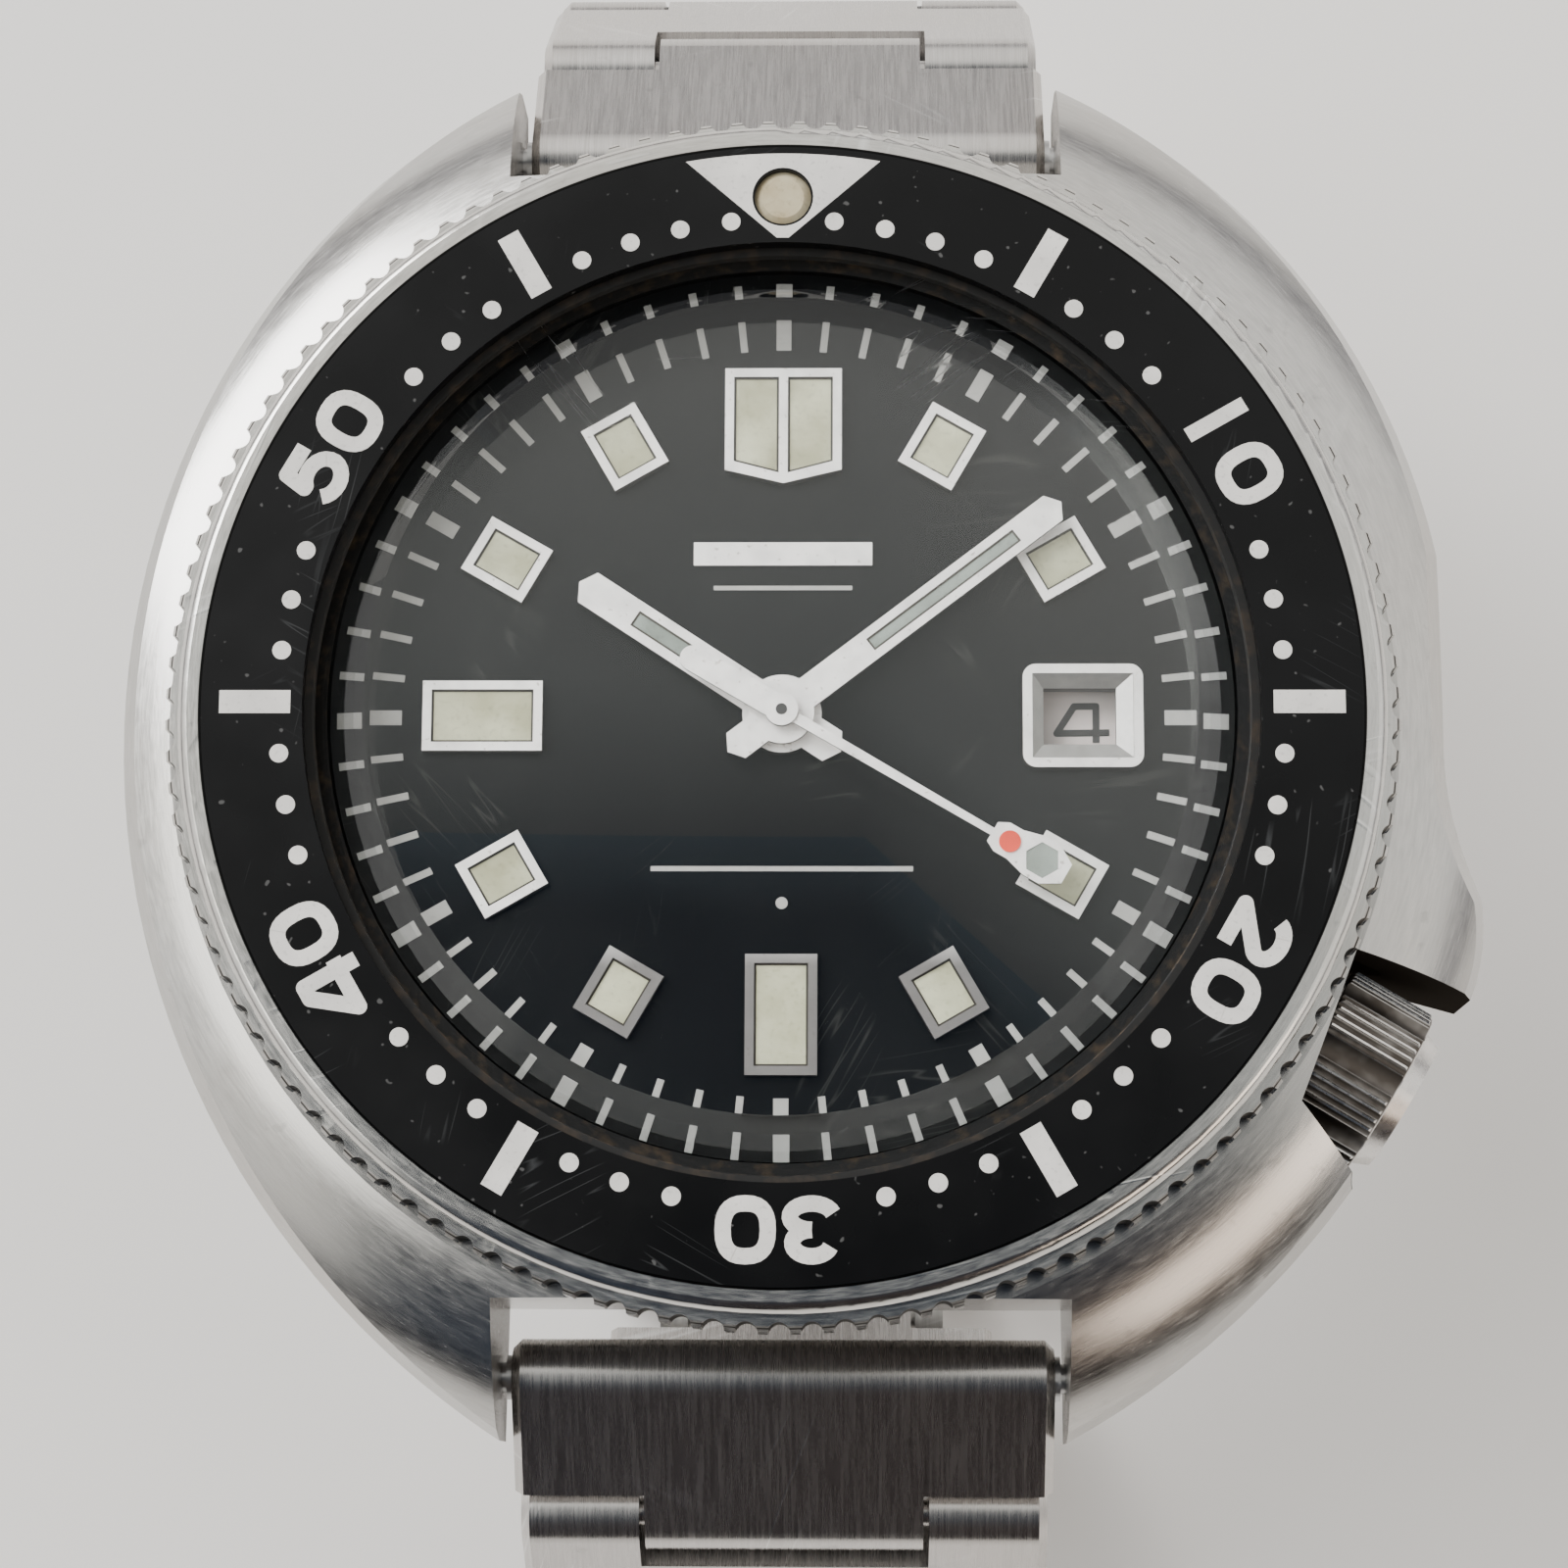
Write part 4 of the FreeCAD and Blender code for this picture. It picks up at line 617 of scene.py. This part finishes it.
printed("bezel_dots", dots, BEZEL_TOP, INK, WHITE_PRINT, "bezel")
printed("bezel_bars", bars, BEZEL_TOP, INK, WHITE_PRINT, "bezel")
printed("bezel_numerals", digits, BEZEL_TOP, INK, WHITE_PRINT, "bezel")

# The triangle is two halves, so that each outline is simple around the pearl's hole.
TRIANGLE_TOP, TRIANGLE_TIP, PEARL_Y, PEARL_HOLE = 18.8, 15.85, 17.28, 1.02
right = [(0.0, TRIANGLE_TIP), (0.2, TRIANGLE_TIP)]
right += [(TRIANGLE_TOP * math.sin(math.radians(a)), TRIANGLE_TOP * math.cos(math.radians(a)))
          for a in range(10, -1, -1)]
right += bowl(0, PEARL_Y, PEARL_HOLE, PEARL_HOLE, 90, -90, 20)
left = [(-x, y) for x, y in right]
printed("bezel_triangle", [right, left], BEZEL_TOP, INK, WHITE_PRINT, "bezel")

TICK_RADIUS = 13.265
ticks = []
for minute in range(60):
    ticks += placed([bar(0.5 if minute % 5 == 0 else 0.24, 1.07)], *around(TICK_RADIUS, minute))
printed("dial_ticks", ticks, DIAL_TOP, INK, DIAL_PRINT, "case")
# A plain bar, two plain rules and a plain dot are all that the dial's middle carries.
printed("dial_plain_bar", placed([bar(6.0, 0.8)], (0.0, 5.6)), DIAL_TOP, 0.12, MATERIALS["marker_silver"],
        "case")
rules = (placed([bar(4.65, 0.15)], (0.0, 4.45)) + placed([bar(8.7, 0.17)], (0.0, -5.1))
         + placed([disc(0.2, 20)], (0.0, -6.25)))
printed("dial_rules", rules, DIAL_TOP, INK, DIAL_PRINT, "case")

# Width of the dark gap around each lume window, drawn as a thin line just inside the frame.
GAP = 0.07


def window_line(left, low, right, high):
    half = GAP / 2
    return ribbon([(left + half, low + half), (right - half, low + half), (right - half, high - half),
                   (left + half, high - half)], GAP, True)


gaps = []
for hour in (1, 2, 4, 5, 7, 8, 10, 11):
    gaps += placed(window_line(-0.735, -0.89, 0.735, 0.89), *around(10.7, 5 * hour))
for hour in (6, 9):
    gaps += placed(window_line(-0.89, -1.7, 0.89, 1.7), *around(10.0, 5 * hour))
HALF_OF_TWELVE = ((0.19, 11.65), (0.19, 8.41), (1.63, 8.79), (1.63, 11.65))
for side in (-1, 1):
    gaps += ribbon([(side * x, y) for x, y in HALF_OF_TWELVE], GAP, True)
printed("lume_gaps", gaps, LUME_TOP, INK, GAP_DARK_LINE, "case")
# Each hand's angle, then its window's start, end and half width, and the lume's height.
for name, angle, start, end, half, top in (("hour", HOUR_ANGLE, 2.7, 5.9, 0.29, 9.59),
                                           ("minute", MINUTE_ANGLE, 3.7, 9.85, 0.24, 9.96)):
    line = placed(window_line(-half, start, half, end), (0.0, 0.0), -math.radians(angle))
    printed(name + "_lume_gap", line, top, INK, GAP_DARK_LINE, name)

# Day 4 is under the window at 3 o'clock, a little high in it; the days run clockwise from there.
DATE_FOUR = [(0.44, -0.80), (0.46, 0.45), (-0.27, 0.45), (-0.87, -0.46), (0.89, -0.46)]
DATE_RADIUS, DATE_PITCH, DATE_OFFSET = 10.05, 1.12, 0.012
dates = []
for day in range(1, 32):
    angle = -math.radians(360.0 / 31 * (day - 4)) + DATE_OFFSET
    text = str(day)
    wide = 1.1 if len(text) == 1 else 0.62
    for k, digit in enumerate(text):
        reach = DATE_RADIUS + (k - (len(text) - 1) / 2) * DATE_PITCH
        if day == 4:
            flat = ribbon(DATE_FOUR, 0.23)
        else:
            flat = [[(x * wide, (y + 0.12) * 0.615) for x, y in outline] for outline in numeral(digit, 0.36)]
        dates += placed(flat, (reach * math.cos(angle), reach * math.sin(angle)), angle)
printed("date_numerals", dates, DATE_TOP, INK, DATE_INK, "date")

# The date window's bevel: four wedges on the frame's step, mitred at the corners.
LOW_Z, HIGH_Z = 9.125, 9.34
outer_edge = [(8.33, -1.42), (11.67, -1.42), (11.67, 1.42), (8.33, 1.42)]
inner_edge = [(8.69, -0.95), (11.11, -0.95), (11.11, 0.95), (8.69, 0.95)]
wedge_verts, wedge_faces = [], []
for k in range(4):
    after, start = (k + 1) % 4, len(wedge_verts)
    for (x, y), z in ((outer_edge[k], LOW_Z), (outer_edge[after], LOW_Z), (inner_edge[after], LOW_Z),
                      (inner_edge[k], LOW_Z), (outer_edge[k], HIGH_Z), (outer_edge[after], HIGH_Z)):
        wedge_verts.append((x * MM, y * MM, z * MM))
    wedge_faces += [[start + n for n in face] for face in
                    ((3, 2, 1, 0), (0, 1, 5, 4), (4, 5, 2, 3), (0, 4, 3), (1, 2, 5))]
dressed(mesh_object("date_window_bevel", wedge_verts, wedge_faces), BEVEL_SILVER, "case")

dot_angle = math.radians(90 - SECOND_ANGLE)
DOT_REACH = 8.71 * MM
red = outline_mesh("second_dot", [disc(0.36)], 0.0, 0.06)
red.location = (DOT_REACH * math.cos(dot_angle), DOT_REACH * math.sin(dot_angle), 10.32 * MM)
dressed(red, RED_PAINT, "second")
printed("second_pin_hole", [disc(0.19)], 10.4, INK, DATE_INK, "second")


# ------------------------------------------------------------------ floor, light and camera
# Half the floor's side and its height, in metres; it lies 0.2 mm under the bracelet's lowest point.
EDGE, FLOOR_Z = 4.0, -0.0376
floor = mesh_object("floor", [(x, y, FLOOR_Z) for x, y in bar(2 * EDGE, 2 * EDGE)], [(0, 1, 2, 3)])
floor_paint = Surface("floor_paper", (0.88, 0.86, 0.84), roughness=0.7)
floor_paint.bump(floor_paint.noise(floor_paint.even(900.0), detail=3.0), 0.1, 0.01)
floor.data.materials.append(floor_paint.material)

world = bpy.data.worlds.new("studio")
bpy.context.scene.world = world
world.use_nodes = True
sky = Nodes(world.node_tree)
east, north, above = sky.split(sky.node("ShaderNodeTexCoord").outputs["Generated"])
west = sky.math("MULTIPLY", east, -1.0)
# A pale room to the north and at both sides, and darkness overhead and to the south.
east_side = sky.math("MULTIPLY", sky.math("MAXIMUM", east, 0.0), 0.9)
west_side = sky.math("MULTIPLY", sky.math("MAXIMUM", sky.math("SUBTRACT", west, 0.12), 0.0), 1.5)
spread = sky.math("ADD", north, sky.math("ADD", east_side, west_side))
room = sky.ramp(spread, (0.0, (0.032, 0.035, 0.042)), (0.15, (0.024, 0.03, 0.044)), (0.21, (0.5, 0.52, 0.5)),
                (0.34, (0.92, 0.91, 0.87)), (1.0, (1.0, 0.985, 0.95)))
# The room is dimmer near the horizon.
low = sky.ramp(above, (0.0, (0.3, 0.3, 0.32)), (0.16, (0.34, 0.34, 0.36)), (0.36, 1.0))
room = sky.mix(1.0, room, low, "MULTIPLY")
# The darkness is warm lower down, and cool straight overhead and to the west.
overhead = sky.ramp(above, (0.72, (1.0, 0.74, 0.62)), (0.96, (0.62, 0.8, 1.0)))
westward = sky.ramp(west, (0.08, 0.0), (0.25, 1.0))
shade = sky.mix(westward, overhead, (0.95, 1.12, 1.35))
room = sky.mix(sky.math("LESS_THAN", spread, 0.17), room, shade, "MULTIPLY")
# One small bright window high in the west.
window_way = Vector((-0.47, -0.04, 0.87)).normalized()
parts = [sky.math("MULTIPLY", way, part) for way, part in zip((east, north, above), window_way)]
towards_window = sky.math("ADD", sky.math("ADD", parts[0], parts[1]), parts[2])
window = sky.ramp(towards_window, (0.955, 0.0), (0.98, (1.0, 1.0, 0.98)))
window = sky.mix(1.0, window, (2.0, 2.0, 1.95), "MULTIPLY")
background = sky.tree.nodes["Background"]
sky.link(sky.mix(1.0, room, window, "ADD"), background.inputs["Color"])
background.inputs["Strength"].default_value = 1.45


def softbox(name, place, aim, size, power, colour=(1.0, 1.0, 1.0)):
    light = bpy.data.lights.new(name, "AREA")
    light.shape = "RECTANGLE"
    light.size, light.size_y = size
    light.energy = power
    light.color = colour
    obj = bpy.data.objects.new(name, light)
    bpy.context.scene.collection.objects.link(obj)
    obj.location = place
    obj.rotation_euler = (Vector(aim) - Vector(place)).to_track_quat("-Z", "Y").to_euler()


softbox("key_north_west", (-0.38, 0.34, 0.42), (0, 0, 0), (0.34, 0.34), 3.9)
softbox("fill_south_east", (0.36, -0.3, 0.26), (0.01, -0.01, 0), (0.3, 0.2), 0.5, (1.0, 0.84, 0.7))

# The camera looks down on the dial from 78 degrees, with 12 o'clock at the top of its frame.
eye = Vector((0.002736, -0.025758, 0.135614))
right_axis = Vector((0.99978, 0.00404, -0.02046)).normalized()
up_axis = Vector((-0.00022, 0.98302, 0.18348)).normalized()
back_axis = right_axis.cross(up_axis)
camera_data = bpy.data.cameras.new("camera")
camera_data.lens = 88.46
camera_data.sensor_width = 36.0
camera_data.clip_start = 0.005
camera = bpy.data.objects.new("camera", camera_data)
bpy.context.scene.collection.objects.link(camera)
placing = Matrix((right_axis, up_axis, back_axis)).transposed().to_4x4()
placing.translation = eye
camera.matrix_world = placing
bpy.context.scene.camera = camera
